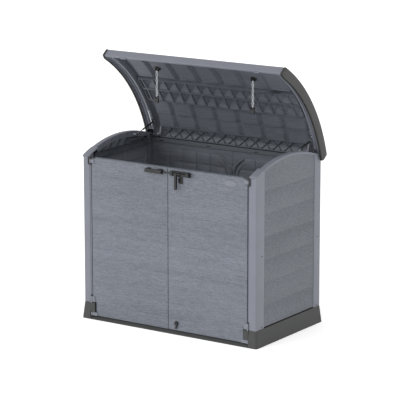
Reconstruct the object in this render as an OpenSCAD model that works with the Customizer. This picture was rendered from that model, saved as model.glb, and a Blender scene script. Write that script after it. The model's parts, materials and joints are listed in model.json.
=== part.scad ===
// Upright garden storage box: a pale grey cabinet on a dark base, with two
// doors, a bowed lid on gas struts, a slide bolt and two bin-lid chains.
// Millimetres, +Z up, +X to the right seen from the doors, doors towards -Y.
// The origin is the middle of the base's underside. The lid is drawn open.

/* [Overall] */
// width of the base across the two ends
body_w = 1450; // [1000:10:1900]
// depth of the base from the doors to the back
body_d = 850; // [700:10:1100]
// height of the side walls where they meet the doors
wall_front_h = 1162; // [900:1:1500]
// how far the walls stand in from the base outline
wall_inset = 15; // [8:1:30]

/* [Base] */
// height of the dark base
base_h = 118; // [70:1:180]
// how much the base narrows from its foot to its top, each side
base_draft = 12; // [0:1:20]
// wall thickness of the base
base_t = 5; // [3:0.5:8]
// width of the ledge that the walls stand on
ledge_w = 35; // [25:1:50]
// thickness of the floor panel
floor_t = 3.5; // [3:0.5:8]
// height of the floor panel's underside
floor_z = 18; // [10:1:30]
// hole for each ground anchor, radius
anchor_r = 6; // [4:0.5:8]
// distance between ground anchors across the width
anchor_dx = 900; // [600:10:1100]
// distance between ground anchors across the depth
anchor_dy = 500; // [300:10:600]

/* [Walls] */
// wall thickness of posts and caps
post_t = 4; // [3:0.5:6]
// width of a front post seen from the front
post_w = 56; // [40:1:90]
// depth of a front post seen from the side
post_d = 100; // [60:1:140]
// depth of a rear post seen from the side
rear_post_d = 84; // [60:1:120]
// width of the arched rail on top of a side wall
rail_w = 42; // [30:1:52]
// radius of the arched rail's top
arch_r = 1034; // [900:1:1300]
// how far the arch's crown lies behind the middle of the box
arch_y = 15; // [0:1:60]
// thickness of the wall panels
panel_t = 3; // [2.5:0.5:6]
// height of the ledge at the foot of the arch, below the door's top
arch_ledge_drop = 20; // [10:1:60]

/* [Doors] */
// gap between the base and the foot of a door
door_lift = 26; // [24.5:0.5:40]
// gap between the top of a door and the top of the post
door_drop = 15; // [10:1:40]
// thickness of a door
door_t = 40; // [30:1:42]
// thickness of a door's front skin
skin_t = 3.2; // [2.5:0.1:5]
// gap between the two doors
seam_gap = 4; // [3.5:0.5:8]
// distance from the post's edge to the hinge axis
hinge_in = 8; // [8:0.5:14]
// how far the hinge axis stands proud of the door's face
hinge_proud = 3; // [2:0.5:6]
// radius of a door hinge pin
door_pin_r = 4.5; // [3:0.5:6]
// radius of a door hinge knuckle
knuckle_r = 7; // [6.5:0.5:8]
// width of the notch in a door's lower corner
notch_w = 30; // [28:1:60]

/* [Lid] */
// height of the lid's crown above the top of the arched rail
lid_rise = 56; // [50:1:90]
// depth of the lid's side trim
skirt_h = 70; // [58:1:110]
// thickness of the lid's top skin
lid_t = 3.5; // [2.5:0.5:6]
// height of the lid's front lip
lip_h = 58; // [40:1:70]
// thickness of the side trim, outside the wall
trim_t = 16; // [10:1:24]
// gap between the wall and the trim
trim_gap = 9; // [5:1:12]
// depth of the space between the lid's skin and its liner
liner_gap = 24; // [16:1:26]
// thickness of the lid's liner
liner_t = 2.5; // [2:0.5:5]
// distance of the lid hinge in front of the rear face
lid_hinge_in = 20; // [18:1:30]
// height of the lid hinge above the arched rail at that place
lid_hinge_up = 7; // [4:1:12]
// radius of the lid hinge pins
lid_pin_r = 6; // [4:0.5:8]
// angle that the lid stands open
lid_open = 52; // [30:1:60]

/* [Struts and chains] */
// place of the strut's eye on the lid: ahead of and above the lid hinge
strut_lid_y = -91; // [-110:1:-80]
strut_lid_z = 34; // [28:1:40]
// place of the strut's anchor on the wall: ahead of and above the lid hinge
strut_wall_y = -250; // [-300:1:-230]
strut_wall_z = 31; // [20:1:36]
// radius of the strut's tube
strut_r = 6; // [4:0.5:8]
// length of the strut's tube
strut_tube_l = 140; // [100:1:145]
// radius of the strut's rod
strut_rod_r = 3.5; // [2.5:0.5:4.5]
// distance of a chain from the middle
chain_x = 395; // [200:5:550]
// distance of a chain's anchor from the hinge, along the closed lid
chain_y = -640; // [-700:5:-500]
// number of links in a chain
chain_links = 9; // [5:1:12]
// radius of a link's wire
wire_r = 2; // [1.5:0.1:2.2]
// radius of a link's bend
link_bend_r = 6; // [5.5:0.1:8]
// length of a link's straight sides
link_straight = 13; // [12:0.5:20]

/* [Latch] */
// height of the bolt below the top of the doors
bolt_drop = 29; // [24:1:60]
// how far the bolt's axis stands proud of the doors
bolt_proud = 20; // [16:1:24]
// radius of the bolt's nose
bolt_r = 5; // [4:0.5:6]
// radius of the bolt's barrel
barrel_r = 8; // [7:0.5:9]
// travel of the bolt
bolt_travel = 50; // [30:1:55]
// length of the bolt's guide
guide_l = 150; // [130:1:180]
// length of the keeper tube
keeper_l = 137; // [100:1:160]
// radius of the padlock hole in the hasp
padlock_r = 3.5; // [2.5:0.1:4]
// length of the lever that turns the bolt
lever_l = 108; // [80:1:120]

/* [Clearances] */
// play of a pin in its hole, on the radius
run_gap = 0.05; // [0.01:0.01:0.1]
// gap between pieces that move past each other
move_gap = 0.5; // [0.3:0.1:1]
// gap between pieces that are fitted together
seat_gap = 0.3; // [0.2:0.1:0.6]

/* [Hidden] */
$fn = 96;
eps = 0.01;
arc_fn = 360;

pale_grey = "#8b8f9a";
door_grey = "#838892";
panel_grey = "#70747c";
inner_grey = "#4b4e55";
charcoal = "#4c4d4c";
trim_grey = "#5a5b57";
black = "#1c1d1e";
metal = "#b6b9bd";

// outline
front_y = -body_d / 2;
rear_y = body_d / 2;
wall_x = body_w / 2 - wall_inset;
post_y = front_y + wall_inset - 1;
rear_face_y = rear_y - wall_inset;
post_in_x = wall_x - post_w;
rail_in_x = wall_x - rail_w;
doorway_x = post_in_x + 1;
arch_z = wall_front_h - sqrt(pow(arch_r, 2) - pow(post_y - arch_y, 2));

// doors
door_y = post_y + 1;
door_z0 = door_lift;
door_z1 = wall_front_h - door_drop;
axis_x = post_in_x - hinge_in;
axis_y = door_y - hinge_proud;
door_x1 = axis_x - knuckle_r - 1;
door_x0 = seam_gap / 2;
notch_x = door_x1 - notch_w;
notch_z0 = 50;
upper_knuckle_z = base_h + 45;
upper_hinge_h = 36;
block_x = notch_x + 8;
tab_l = 48;

// lid
lid_r = arch_r + lid_rise;
lid_under_r = lid_r - lid_t;
skirt_r = lid_r - skirt_h;
trim_x0 = wall_x + trim_gap;
trim_x1 = trim_x0 + trim_t;
hinge_y = rear_face_y - lid_hinge_in;
hinge_z = arc_z(arch_r, hinge_y) + lid_hinge_up;
lip_y = front_y - 5;
lip_top_z = arc_z(lid_r, lip_y);
lid_rear_y = rear_y + 7;
rail_bottom_r = arch_r + 4;
rail_end_y = hinge_y - 30;
liner_x = rail_in_x - 20;
liner_end_y = hinge_y - 10;
ear_x = rail_in_x - 56;

// struts: lid end A and wall end B, in the closed lid's frame and on the wall
strut_x = rail_in_x - 12;
strut_a = [hinge_y + strut_lid_y, hinge_z + strut_lid_z];
strut_b = [hinge_y + strut_wall_y, hinge_z + strut_wall_z];
strut_a_open = turned(strut_a);
strut_dy = strut_b[0] - strut_a_open[0];
strut_dz = strut_b[1] - strut_a_open[1];
strut_l = sqrt(strut_dy * strut_dy + strut_dz * strut_dz);
strut_tilt = atan2(strut_dz, strut_dy);
eye_r = 7;
eye_t = 6;

// chains
chain_foot = [hinge_y + chain_y, arc_z(lid_under_r - liner_gap, hinge_y + chain_y)];
chain_slope = -asin((chain_foot[0] - arch_y) / (lid_under_r - liner_gap));
chain_stand = 20;
ring = turned(chain_foot + chain_stand * [sin(chain_slope), -cos(chain_slope)]);
link_half = link_straight / 2 + link_bend_r;
link_pitch = 2 * link_half - 2 * wire_r - seat_gap;
ring_play = 2 * wire_r + seat_gap;
first_link_z = ring[1] + ring_play - link_half;
clip_bar_z = first_link_z - (chain_links - 1) * link_pitch - link_half + ring_play;

// latch
bolt_y = door_y - bolt_proud;
bolt_z = door_z1 - bolt_drop;
guide_x0 = 38;
guide_x1 = guide_x0 + guide_l;
guide_block_l = 22;
guide_front = 13;
guide_top = bolt_z + 12;
lever_x = guide_x0 + 42;
lever_w = 15;
catch_x = 70;
catch_z = 66;
eye_wall = 4;

// height of an arc about the arch's centre, radius r, at depth y
function arc_z(r, y) = arch_z + sqrt(r * r - pow(y - arch_y, 2));
// where a point of the closed lid lies when the lid is open
function turned(p) = [
    hinge_y + (p[0] - hinge_y) * cos(lid_open) + (p[1] - hinge_z) * sin(lid_open),
    hinge_z - (p[0] - hinge_y) * sin(lid_open) + (p[1] - hinge_z) * cos(lid_open)
];

// ---------- shared shapes ----------

// a box between two corners
module block(a, b) {
    translate(a) cube(b - a);
}

// a profile in (y, z) swept along X
module yz_sweep(x0, x1) {
    translate([x0, 0, 0]) rotate([90, 0, 90]) linear_extrude(x1 - x0) children();
}

// the band between two radii about the arch's centre, from y0 to y1
module arc_band(r0, r1, y0, y1) {
    intersection() {
        translate([arch_y, arch_z]) difference() {
            circle(r1, $fn = arc_fn);
            circle(r0, $fn = arc_fn);
        }
        translate([y0, base_h]) square([y1 - y0, arch_z + lid_r]);
    }
}

// everything of the children that lies under the arc of radius r
module under_arc(r) {
    intersection() {
        children();
        yz_sweep(-body_w, body_w) translate([arch_y, arch_z]) circle(r, $fn = arc_fn);
    }
}

// the children as drawn for the right side, or mirrored to the left
module on_side(s) {
    if (s > 0) children();
    else mirror([1, 0, 0]) children();
}

module both_sides() {
    children();
    mirror([1, 0, 0]) children();
}

// from the closed lid's place to the open one
module lid_pose() {
    translate([0, hinge_y, hinge_z]) rotate([-lid_open, 0, 0])
        translate([0, -hinge_y, -hinge_z]) children();
}

// a rod along X
module rod_x(x0, x1, r) {
    translate([x0, 0, 0]) rotate([0, 90, 0]) cylinder(r = r, h = x1 - x0);
}

// a countersunk screw head, pointing out along -Y
module screw_head(r = 4.5) {
    rotate([90, 0, 0]) difference() {
        cylinder(r = r, h = 2);
        translate([0, 0, 1]) cylinder(r = r * 0.4, h = 2);
    }
}

// ---------- base ----------

module rounded_slab(w, d, z) {
    r = 18;
    translate([0, 0, z]) linear_extrude(0.5) hull()
        for (x = [-1, 1], y = [-1, 1])
            translate([x * (w / 2 - r), y * (d / 2 - r)]) circle(r, $fn = 32);
}

module tapered_body(inset, z0, z1) {
    slope = 2 * base_draft / base_h;
    hull() {
        rounded_slab(body_w - 2 * inset - slope * z0, body_d - 2 * inset - slope * z0, z0);
        rounded_slab(body_w - 2 * inset - slope * z1, body_d - 2 * inset - slope * z1, z1 - 0.5);
    }
}

// the dark skirt with its ledge, open at the front between the posts
module base_rim() {
    color(charcoal) difference() {
        tapered_body(0, 0, base_h);
        tapered_body(base_t, -1, base_h - base_t);
        cube([body_w - 2 * (wall_inset + ledge_w), body_d - 2 * (wall_inset + ledge_w), 3 * base_h],
            center = true);
        block([-doorway_x, front_y - 1, -1],
            [doorway_x, front_y + wall_inset + ledge_w + 1, base_h + 1]);
    }
}

module base_floor() {
    edge_x = body_w / 2 - base_t - 4;
    front = front_y + wall_inset + ledge_w;
    back = rear_y - base_t - 4;
    color(charcoal) difference() {
        union() {
            block([-edge_x + 12, front, floor_z], [edge_x - 12, back - 12, floor_z + floor_t]);
            for (k = [-4.5 : 1 : 4.5])
                block([k * body_w / 10 - 2, front, 0], [k * body_w / 10 + 2, back - 12, floor_z + eps]);
            for (y = [front + 4, front / 3, -front / 3, back - 18])
                block([-edge_x + 12, y - 2, 0], [edge_x - 12, y + 2, floor_z + eps]);
        }
        for (x = [-1, 1], y = [-1, 1])
            translate([x * anchor_dx / 2, y * anchor_dy / 2, -1]) cylinder(r = anchor_r, h = base_h);
    }
}

// the low threshold that is stepped over, with slanting treads
module base_ramp() {
    top = door_z0 - 2;
    back = front_y + wall_inset + ledge_w - seat_gap;
    half = doorway_x - seat_gap;
    treads = 2 * round(half / 55);
    color(charcoal) {
        yz_sweep(-half, half)
            polygon([[front_y, 0], [front_y, 6], [front_y + 20, top - 3], [back, top - 3],
                [back, top - 6], [front_y + 22, top - 6], [front_y + 6, 5], [front_y + 6, 0]]);
        for (k = [0 : treads - 1])
            translate([-half + (k + 0.5) * 2 * half / treads, front_y + 34, top - 5])
                rotate([0, 0, 35]) translate([-2.5, -12, 0]) cube([5, 24, 5]);
    }
}

// the ears that carry the door's lower pins
module base_hinge_blocks() {
    color(charcoal) both_sides() difference() {
        union() {
            block([block_x, axis_y - knuckle_r, notch_z0 + 1], [axis_x, axis_y + 12, base_h]);
            block([axis_x, axis_y - 5, notch_z0 + 1], [doorway_x - seat_gap, axis_y + 8, base_h]);
            translate([axis_x, axis_y, notch_z0 + 1])
                cylinder(r = knuckle_r + 1, h = base_h - notch_z0 - 1);
        }
        translate([axis_x, axis_y, 0]) cylinder(r = door_pin_r + run_gap, h = 2 * base_h);
    }
}

// ---------- posts and walls ----------

module front_post(s) {
    top = wall_front_h + 60;
    color(pale_grey) on_side(s) {
        under_arc(arch_r - post_t + eps) {
            block([post_in_x, post_y, base_h], [wall_x, post_y + post_t, top]);
            block([wall_x - post_t, post_y, base_h], [wall_x, post_y + post_d, top]);
            block([post_in_x, post_y, base_h], [post_in_x + post_t, post_y + door_t, top]);
            block([wall_x - 20, post_y + post_d - post_t, base_h], [wall_x, post_y + post_d, top]);
        }
        yz_sweep(post_in_x, wall_x) arc_band(arch_r - post_t, arch_r, post_y, post_y + post_d);
    }
}

module rear_post(s) {
    top = wall_front_h + 60;
    inner_x = wall_x - post_w;
    front = rear_face_y - rear_post_d;
    color(pale_grey) on_side(s) {
        under_arc(arch_r - post_t + eps) {
            block([inner_x, rear_face_y - post_t, base_h], [wall_x, rear_face_y, top]);
            block([wall_x - post_t, front, base_h], [wall_x, rear_face_y, top]);
            block([wall_x - 20, front, base_h], [wall_x, front + post_t, top]);
        }
        yz_sweep(rail_in_x, wall_x) arc_band(arch_r - post_t, arch_r, front, rear_face_y);
    }
}

module arch_rail(s) {
    y0 = post_y + post_d + seat_gap;
    y1 = rear_face_y - rear_post_d - seat_gap;
    color(pale_grey) on_side(s) {
        yz_sweep(rail_in_x, wall_x) arc_band(arch_r - post_t, arch_r, y0, y1);
        yz_sweep(wall_x - 3.5, wall_x) arc_band(arch_r - 16, arch_r - post_t + eps, y0, y1);
        yz_sweep(rail_in_x, rail_in_x + 3) arc_band(arch_r - 40, arch_r - post_t + eps, y0, y1);
    }
}

// lattice liner inside the arch, standing on a ledge
module arch_liner(s) {
    x0 = rail_in_x + 4;
    z0 = door_z1 - arch_ledge_drop;
    y0 = post_y + post_d + 2;
    y1 = rear_face_y - rear_post_d - 2;
    cells = 8;
    pitch = (y1 - y0) / cells;
    color(inner_grey) on_side(s) under_arc(arch_r - post_t - 1) {
        block([x0 + 8, y0, z0], [x0 + 11, y1, wall_front_h + 100]);
        block([x0 - 6, y0, z0 - 4], [wall_x - 8, y1, z0 + eps]);
        for (k = [0 : cells], tilt = [-40, 40])
            intersection() {
                block([x0, y0, z0], [x0 + 8 + eps, y1, wall_front_h + 100]);
                translate([x0, y0 + k * pitch, z0 + 40]) rotate([tilt, 0, 0])
                    translate([0, -1.25, -120]) cube([9, 2.5, 240]);
            }
    }
}

module side_panel(s) {
    x1 = wall_x - 3.5 - seat_gap;
    y0 = post_y + post_d + seat_gap;
    y1 = rear_face_y - rear_post_d - seat_gap;
    rib = 12;
    color(panel_grey) on_side(s) {
        under_arc(arch_r - post_t - seat_gap)
            block([x1 - panel_t, y0, base_h + 3], [x1, y1, wall_front_h + 100]);
        for (k = [0 : 4])
            translate([x1 - panel_t - rib, y0, base_h + 60 + k * (door_z1 - base_h - 160) / 4])
                cube([rib + eps, y1 - y0, 3]);
        for (f = [1 / 3, 2 / 3])
            translate([x1 - panel_t - rib, y0 + f * (y1 - y0) - 1.5, base_h + 60])
                cube([rib + eps, 3, door_z1 - base_h - 160]);
    }
}

module rear_panel(s) {
    y1 = rear_face_y - post_t - seat_gap;
    z1 = rail_z0() - seat_gap;
    x1 = wall_x - 22;
    color(panel_grey) on_side(s) {
        block([1, y1 - panel_t, base_h + 3], [x1, y1, z1]);
        for (x = [1, x1 / 3, 2 * x1 / 3, x1 - 3])
            block([x, y1 - panel_t - 18, base_h + 3], [x + 3, y1 - panel_t + eps, z1]);
        for (k = [0 : 4])
            translate([1, y1 - panel_t - 18, base_h + 40 + k * (z1 - base_h - 80) / 4])
                cube([x1 - 1, 18 + eps, 3]);
    }
}

function rail_z0() = hinge_z - 56;

// the channel along the top of the back, under the lid hinge
module rear_rail() {
    z1 = hinge_z - 26;
    y0 = rear_face_y - 30;
    x1 = wall_x - 22;
    color(pale_grey) {
        block([-x1, rear_face_y - post_t - 4, rail_z0()], [x1, rear_face_y - post_t - seat_gap, z1]);
        block([-x1, y0, z1 - post_t], [x1, rear_face_y - post_t - seat_gap, z1]);
        block([-x1, y0, rail_z0()], [x1, y0 + 4, z1]);
    }
}

// steel uprights that hold the lid hinge pins
module lid_hinge_brackets() {
    x0 = ear_x + 12 + move_gap;
    x1 = x0 + 6;
    z0 = hinge_z - 26;
    color(black) both_sides() difference() {
        union() {
            block([x0, hinge_y - 10, z0], [x1, hinge_y + 10, hinge_z]);
            translate([0, hinge_y, hinge_z]) rod_x(x0, x1, 11);
            block([x0, hinge_y - 10, z0], [x1 + 24, hinge_y + 10, z0 + 3]);
        }
        translate([0, hinge_y, hinge_z]) rod_x(x0 - 1, x1 + 1, lid_pin_r + run_gap);
    }
}

module lid_hinge_pins() {
    color(metal) both_sides() translate([0, hinge_y, hinge_z]) {
        rod_x(ear_x - 2, ear_x + 12 + 10, lid_pin_r);
        rod_x(ear_x + 12 + 8.5, ear_x + 12 + 13, lid_pin_r + 3);
    }
}

// studs on the arched rails that the struts push against
module strut_anchors() {
    color(metal) both_sides() translate([0, strut_b[0], strut_b[1]]) {
        rod_x(strut_x + eye_t / 2 + move_gap, rail_in_x - seat_gap, 9);
        translate([rail_in_x - 3 - seat_gap, -22, -14]) cube([3, 44, 28]);
    }
}

// ---------- door hinges ----------

module door_hinge_pins() {
    color(metal) both_sides() translate([axis_x, axis_y, 0]) {
        translate([0, 0, door_z0 + 1]) cylinder(r = door_pin_r, h = upper_knuckle_z - door_z0 - 2);
        translate([0, 0, door_z1 - upper_hinge_h - 11])
            cylinder(r = door_pin_r, h = upper_hinge_h + 10);
    }
}

// black brackets on the posts that hold the upper pins, with a cap over the door
module post_hinge_brackets() {
    low = door_z1 - upper_hinge_h - 11;
    cap_z = door_z1 + 1;
    front = axis_y - knuckle_r;
    back = post_y - seat_gap;
    color(black) both_sides() difference() {
        union() {
            for (z = [low, door_z1 - 10])
                translate([axis_x, axis_y, z]) cylinder(r = knuckle_r, h = 10);
            for (z = [low, door_z1 - 10])
                block([axis_x, front, z], [post_in_x + 3, back, z + 10]);
            block([post_in_x + 1, front, low], [post_in_x + 9, back, door_z1 + 5]);
            block([axis_x - 36, front, cap_z], [post_in_x - seat_gap, post_y + 6, cap_z + 4]);
            block([axis_x - 36, front, cap_z], [post_in_x + 2, back, cap_z + 4]);
            block([axis_x - 4, front, door_z1 - 2], [axis_x + 4, axis_y, door_z1 + 2]);
        }
        translate([axis_x, axis_y, low - 1]) cylinder(r = door_pin_r + run_gap, h = 90);
    }
}

// knuckles and tabs that ride with a door
module door_hinges(s) {
    lower_h = notch_z0 - door_z0 - move_gap;
    face = door_y - seat_gap;
    knuckles = [
        [door_z0, lower_h, tab_l],
        [base_h + 4, upper_knuckle_z - base_h - 4, 26],
        [door_z1 - upper_hinge_h, upper_hinge_h - 11, 30]
    ];
    color(pale_grey) on_side(s) difference() {
        union() {
            for (k = knuckles) {
                translate([axis_x, axis_y, k[0]]) cylinder(r = knuckle_r, h = k[1]);
                block([axis_x - k[2], axis_y - 2, k[0]], [axis_x, face, k[0] + k[1]]);
            }
        }
        translate([axis_x, axis_y, 0]) cylinder(r = door_pin_r + run_gap, h = 2 * door_z1);
    }
}

// ---------- doors ----------

// the door's outline in (x, z), with the notch for the lower hinge
module door_outline(inset) {
    x0 = door_x0 + inset;
    x1 = door_x1 - inset;
    n0 = notch_z0 - inset;
    n1 = base_h + 3 + inset;
    polygon([[x0, door_z0 + inset], [x1, door_z0 + inset], [x1, n0], [notch_x - inset, n0],
        [notch_x - inset, n1], [x1, n1], [x1, door_z1 - inset], [x0, door_z1 - inset]]);
}

// the outline as a solid from y0 to y1
module door_slab(inset, y0, y1) {
    translate([0, y1, 0]) rotate([90, 0, 0]) linear_extrude(y1 - y0) door_outline(inset);
}

// front face with its folded edges
module door_skin(s) {
    color(door_grey) on_side(s) difference() {
        door_slab(0, door_y, door_y + door_t);
        difference() {
            door_slab(skin_t, door_y + skin_t, door_y + door_t + 1);
            for (k = [1 : 4])
                block([0, door_y, door_z0 + k * (door_z1 - door_z0) / 5 - 1.5],
                    [wall_x, door_y + 14, door_z0 + k * (door_z1 - door_z0) / 5 + 1.5]);
        }
    }
}

// inner panel that closes the door
module door_back(s) {
    y1 = door_y + door_t - 1;
    color(inner_grey) on_side(s) {
        door_slab(skin_t + seat_gap, y1 - 2.5, y1);
        for (k = [0.5 : 1 : 4.5])
            block([door_x0 + 12, y1 - 20, door_z0 + 10 + k * (door_z1 - door_z0 - 20) / 5 - 1.5],
                [notch_x - 10, y1 - 2.4, door_z0 + 10 + k * (door_z1 - door_z0 - 20) / 5 + 1.5]);
    }
}

// plain oval plate on the right door
module door_badge() {
    color(pale_grey) translate([507, door_y - seat_gap, door_z1 - 48]) rotate([90, 0, 0])
        scale([2.5, 1, 1]) cylinder(r = 20, h = 2);
}

// ---------- latch ----------

// tube on the left door that the bolt runs into
module bolt_keeper() {
    x1 = -32;
    x0 = x1 - keeper_l;
    face = door_y - seat_gap;
    color(black) difference() {
        union() {
            block([x0, bolt_y - 12, bolt_z - 12], [x1 - 24, bolt_y + 4, bolt_z + 12]);
            block([x0 + 10, bolt_y, bolt_z - 14], [x0 + 30, face, bolt_z + 16]);
            block([x1 - 40, bolt_y, bolt_z - 14], [x1 - 6, face, bolt_z + 16]);
            translate([0, bolt_y, bolt_z]) rod_x(x1 - 24.5, x1, 15);
        }
        translate([0, bolt_y, bolt_z]) rod_x(x0 + 8, x1 + 1, bolt_r + 1.5);
    }
}

// the part of the bolt that stays in the keeper, up to the seam
module bolt_stub() {
    color(black) translate([0, bolt_y, bolt_z]) rod_x(-110, -door_x0 - move_gap, bolt_r);
}

// guide on the right door: a plate with a block at each end
module bolt_guide() {
    face = door_y - seat_gap;
    color(black) difference() {
        union() {
            block([guide_x0, face - 3, bolt_z - 20], [guide_x1, face, guide_top]);
            for (x = [guide_x0, guide_x1 - guide_block_l])
                block([x, bolt_y - guide_front, bolt_z - 13], [x + guide_block_l, face, guide_top]);
        }
        translate([0, bolt_y, bolt_z]) rod_x(guide_x0 - 1, guide_x1 + 1, bolt_r + run_gap);
    }
}

// steel strip that roofs the guide
module bolt_hood() {
    color(black) block([guide_x0, bolt_y - guide_front, guide_top + seat_gap],
        [guide_x1, door_y - seat_gap, guide_top + seat_gap + 4]);
}

// the sliding bolt with its fat middle
module bolt_bar() {
    x0 = guide_x0 + guide_block_l + 1;
    x1 = guide_x1 - guide_block_l - bolt_travel - 1;
    color(black) translate([0, bolt_y, bolt_z]) {
        rod_x(door_x0 + move_gap, guide_x1 - 4, bolt_r);
        rod_x(x0, lever_x - lever_w / 2 - move_gap, barrel_r);
        rod_x(lever_x + lever_w / 2 + move_gap, x1, barrel_r);
    }
}

// hanging lever that turns on the bolt
module bolt_lever() {
    x0 = lever_x - lever_w / 2;
    color(black) difference() {
        union() {
            translate([0, bolt_y, bolt_z]) rod_x(x0, x0 + lever_w, 10.5);
            block([x0, bolt_y - 10, bolt_z - lever_l], [x0 + lever_w, bolt_y + 5, bolt_z - 5]);
        }
        translate([0, bolt_y, bolt_z]) rod_x(x0 - 1, x0 + lever_w + 1, bolt_r + run_gap);
        translate([0, bolt_y - 3, bolt_z - 44]) rod_x(x0 - 1, x0 + lever_w + 1, 5);
    }
}

// plate with an ear for a padlock, beside the lever and behind its path
module padlock_hasp() {
    face = door_y - seat_gap;
    front = bolt_y + 5 + move_gap;
    x0 = lever_x + lever_w / 2 + 8;
    z0 = bolt_z - 68;
    z1 = bolt_z - 22;
    color(black) difference() {
        union() {
            block([x0, face - 3, z0], [x0 + 30, face, z1]);
            block([x0, front, z0 + 10], [x0 + eye_wall, face, z1 - 10]);
        }
        translate([0, (front + face - 3) / 2, (z0 + z1) / 2])
            rod_x(x0 - 1, x0 + eye_wall + 1, padlock_r);
        for (z = [z0 + 10, z1 - 10])
            translate([x0 + 20, face + 1, z]) rotate([90, 0, 0]) cylinder(r = 2.5, h = 9);
    }
}

// turn button at the foot of the right door
module catch_plate() {
    face = door_y - seat_gap;
    color(black) translate([catch_x, face, catch_z + 12]) rotate([90, 0, 0]) {
        cylinder(r = 15, h = 3);
        cylinder(r = 4, h = 16);
    }
}

module catch_turn() {
    y = door_y - seat_gap - 3 - move_gap;
    color(black) translate([catch_x, y, catch_z + 12]) rotate([90, 0, 0]) difference() {
        union() {
            cylinder(r = 13, h = 9);
            linear_extrude(7) polygon([[-6, 6], [11, 3], [4, -38], [-12, -38], [-11, -30], [-4, -28]]);
        }
        translate([0, 0, -1]) cylinder(r = 4 + run_gap, h = 20);
    }
}

// ---------- lid, drawn closed and turned open ----------

module lid_skin() {
    color(pale_grey) lid_pose() {
        yz_sweep(-trim_x0 + seat_gap, trim_x0 - seat_gap) {
            arc_band(lid_under_r, lid_r, lip_y + 4 + seat_gap, lid_rear_y);
            translate([lid_rear_y - lid_t, arc_z(lid_r, lid_rear_y) - 22]) square([lid_t, 21]);
        }
    }
}

module lid_lip() {
    color(pale_grey) lid_pose() yz_sweep(-trim_x0 + seat_gap, trim_x0 - seat_gap)
        polygon([[lip_y, lip_top_z - 2], [lip_y + 2, lip_top_z], [lip_y + 4, lip_top_z],
            [lip_y + 4, lip_top_z - lip_h + 4], [lip_y + 16, lip_top_z - lip_h + 4],
            [lip_y + 16, lip_top_z - lip_h], [lip_y, lip_top_z - lip_h]]);
}

// flat liner with ribs up to the skin
module lid_liner() {
    r0 = lid_under_r - liner_gap;
    y0 = lip_y + 22;
    ribs = 8;
    color(inner_grey) lid_pose() {
        yz_sweep(-liner_x, liner_x) arc_band(r0, r0 + liner_t, y0, liner_end_y);
        for (k = [-ribs / 2 : ribs / 2])
            yz_sweep(k * 2 * (liner_x - 2) / ribs - 1.5, k * 2 * (liner_x - 2) / ribs + 1.5)
                arc_band(r0 + liner_t - eps, lid_under_r - seat_gap, y0, liner_end_y);
    }
}

// dark trim outside each end of the lid
module lid_trim(s) {
    front = lip_y - 3;
    back = rear_y + 9;
    low = lip_top_z - lip_h - 2;
    hollow = 4;
    color(trim_grey) on_side(s) lid_pose() difference() {
        yz_sweep(trim_x0, trim_x1) trim_outline(front, back, low, 0);
        yz_sweep(trim_x0 - 1, trim_x1 - hollow) trim_outline(front, back, low, hollow);
    }
}

// the trim's side view; with an inset it is the hollow, which runs out at the foot
module trim_outline(front, back, low, inset) {
    sink = inset > 0 ? 10 : 0;
    y0 = front + inset;
    y1 = back - inset;
    high = arch_z + 2 * lid_r;
    intersection() {
        arc_band(skirt_r - 1 - sink, lid_r + 1 - inset, y0, y1);
        polygon([[y0, low - sink], [arch_y, low - 40], [y1 - 14, low], [y1, low + 22],
            [y1, high], [y0, high]]);
    }
}

// pale rail inside each end of the lid, which comes down on the arch
module lid_rail(s) {
    x0 = rail_in_x;
    x1 = trim_x0 - seat_gap;
    y0 = lip_y + 20;
    color(pale_grey) on_side(s) lid_pose() {
        yz_sweep(x0, x1) arc_band(rail_bottom_r, rail_bottom_r + 3, y0, rail_end_y);
        yz_sweep(x1 - 3, x1) arc_band(skirt_r + 4, lid_under_r - seat_gap, y0, rail_end_y);
        yz_sweep(x0, x0 + 3) arc_band(rail_bottom_r, lid_under_r - seat_gap, y0, rail_end_y);
    }
}

// ears under the lid that turn on the hinge pins
module lid_hinge_ears() {
    color(pale_grey) lid_pose() both_sides() difference() {
        union() {
            translate([0, hinge_y, hinge_z]) rod_x(ear_x, ear_x + 12, 13);
            yz_sweep(ear_x, ear_x + 12) intersection() {
                arc_band(arch_r - 20, lid_under_r - liner_gap - seat_gap, hinge_y - 60, hinge_y + 13);
                polygon([[hinge_y - 60, hinge_z + 60], [hinge_y - 8, hinge_z - 8],
                    [hinge_y + 13, hinge_z], [hinge_y + 13, hinge_z + 90],
                    [hinge_y - 60, hinge_z + 90]]);
            }
        }
        translate([0, hinge_y, hinge_z]) rod_x(ear_x - 1, ear_x + 13, lid_pin_r + run_gap);
    }
}

// slotted steel plates under the lid's rails that hold the struts' upper eyes
module strut_brackets() {
    x0 = strut_x + strut_r + move_gap;
    x1 = rail_in_x - seat_gap;
    a = strut_a;
    half_h = 12;
    slot_pitch = 24;
    slot_l = 16;
    slot_h = 6;
    color(metal) both_sides() lid_pose() {
        difference() {
            yz_sweep(x0, x1)
                arc_band(rail_bottom_r - half_h, rail_bottom_r + half_h, a[0] - 105, a[0] + 14);
            for (k = [0 : 2]) {
                y = a[0] - 92 + k * slot_pitch;
                translate([x0 - 1, y, arc_z(rail_bottom_r, y + slot_l / 2) - slot_h / 2])
                    cube([x1 - x0 + 2, slot_l, slot_h]);
            }
            translate([0, a[0], a[1]]) rod_x(x0 - 1, x1 + 1, 4 + run_gap);
        }
        translate([0, a[0], a[1]]) {
            rod_x(strut_x - eye_t / 2 - 2, x1, 4);
            rod_x(strut_x - eye_t / 2 - 4, strut_x - eye_t / 2 - move_gap, 6);
        }
    }
}

// the children along the open strut, +Y from the lid's eye to the wall
module strut_pose(s) {
    on_side(s) translate([strut_x, strut_a_open[0], strut_a_open[1]])
        rotate([strut_tilt, 0, 0]) children();
}

// a rod along +Y from y0 to y1
module rod_y(y0, y1, r) {
    translate([0, y0, 0]) rotate([-90, 0, 0]) cylinder(r = r, h = y1 - y0);
}

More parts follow.
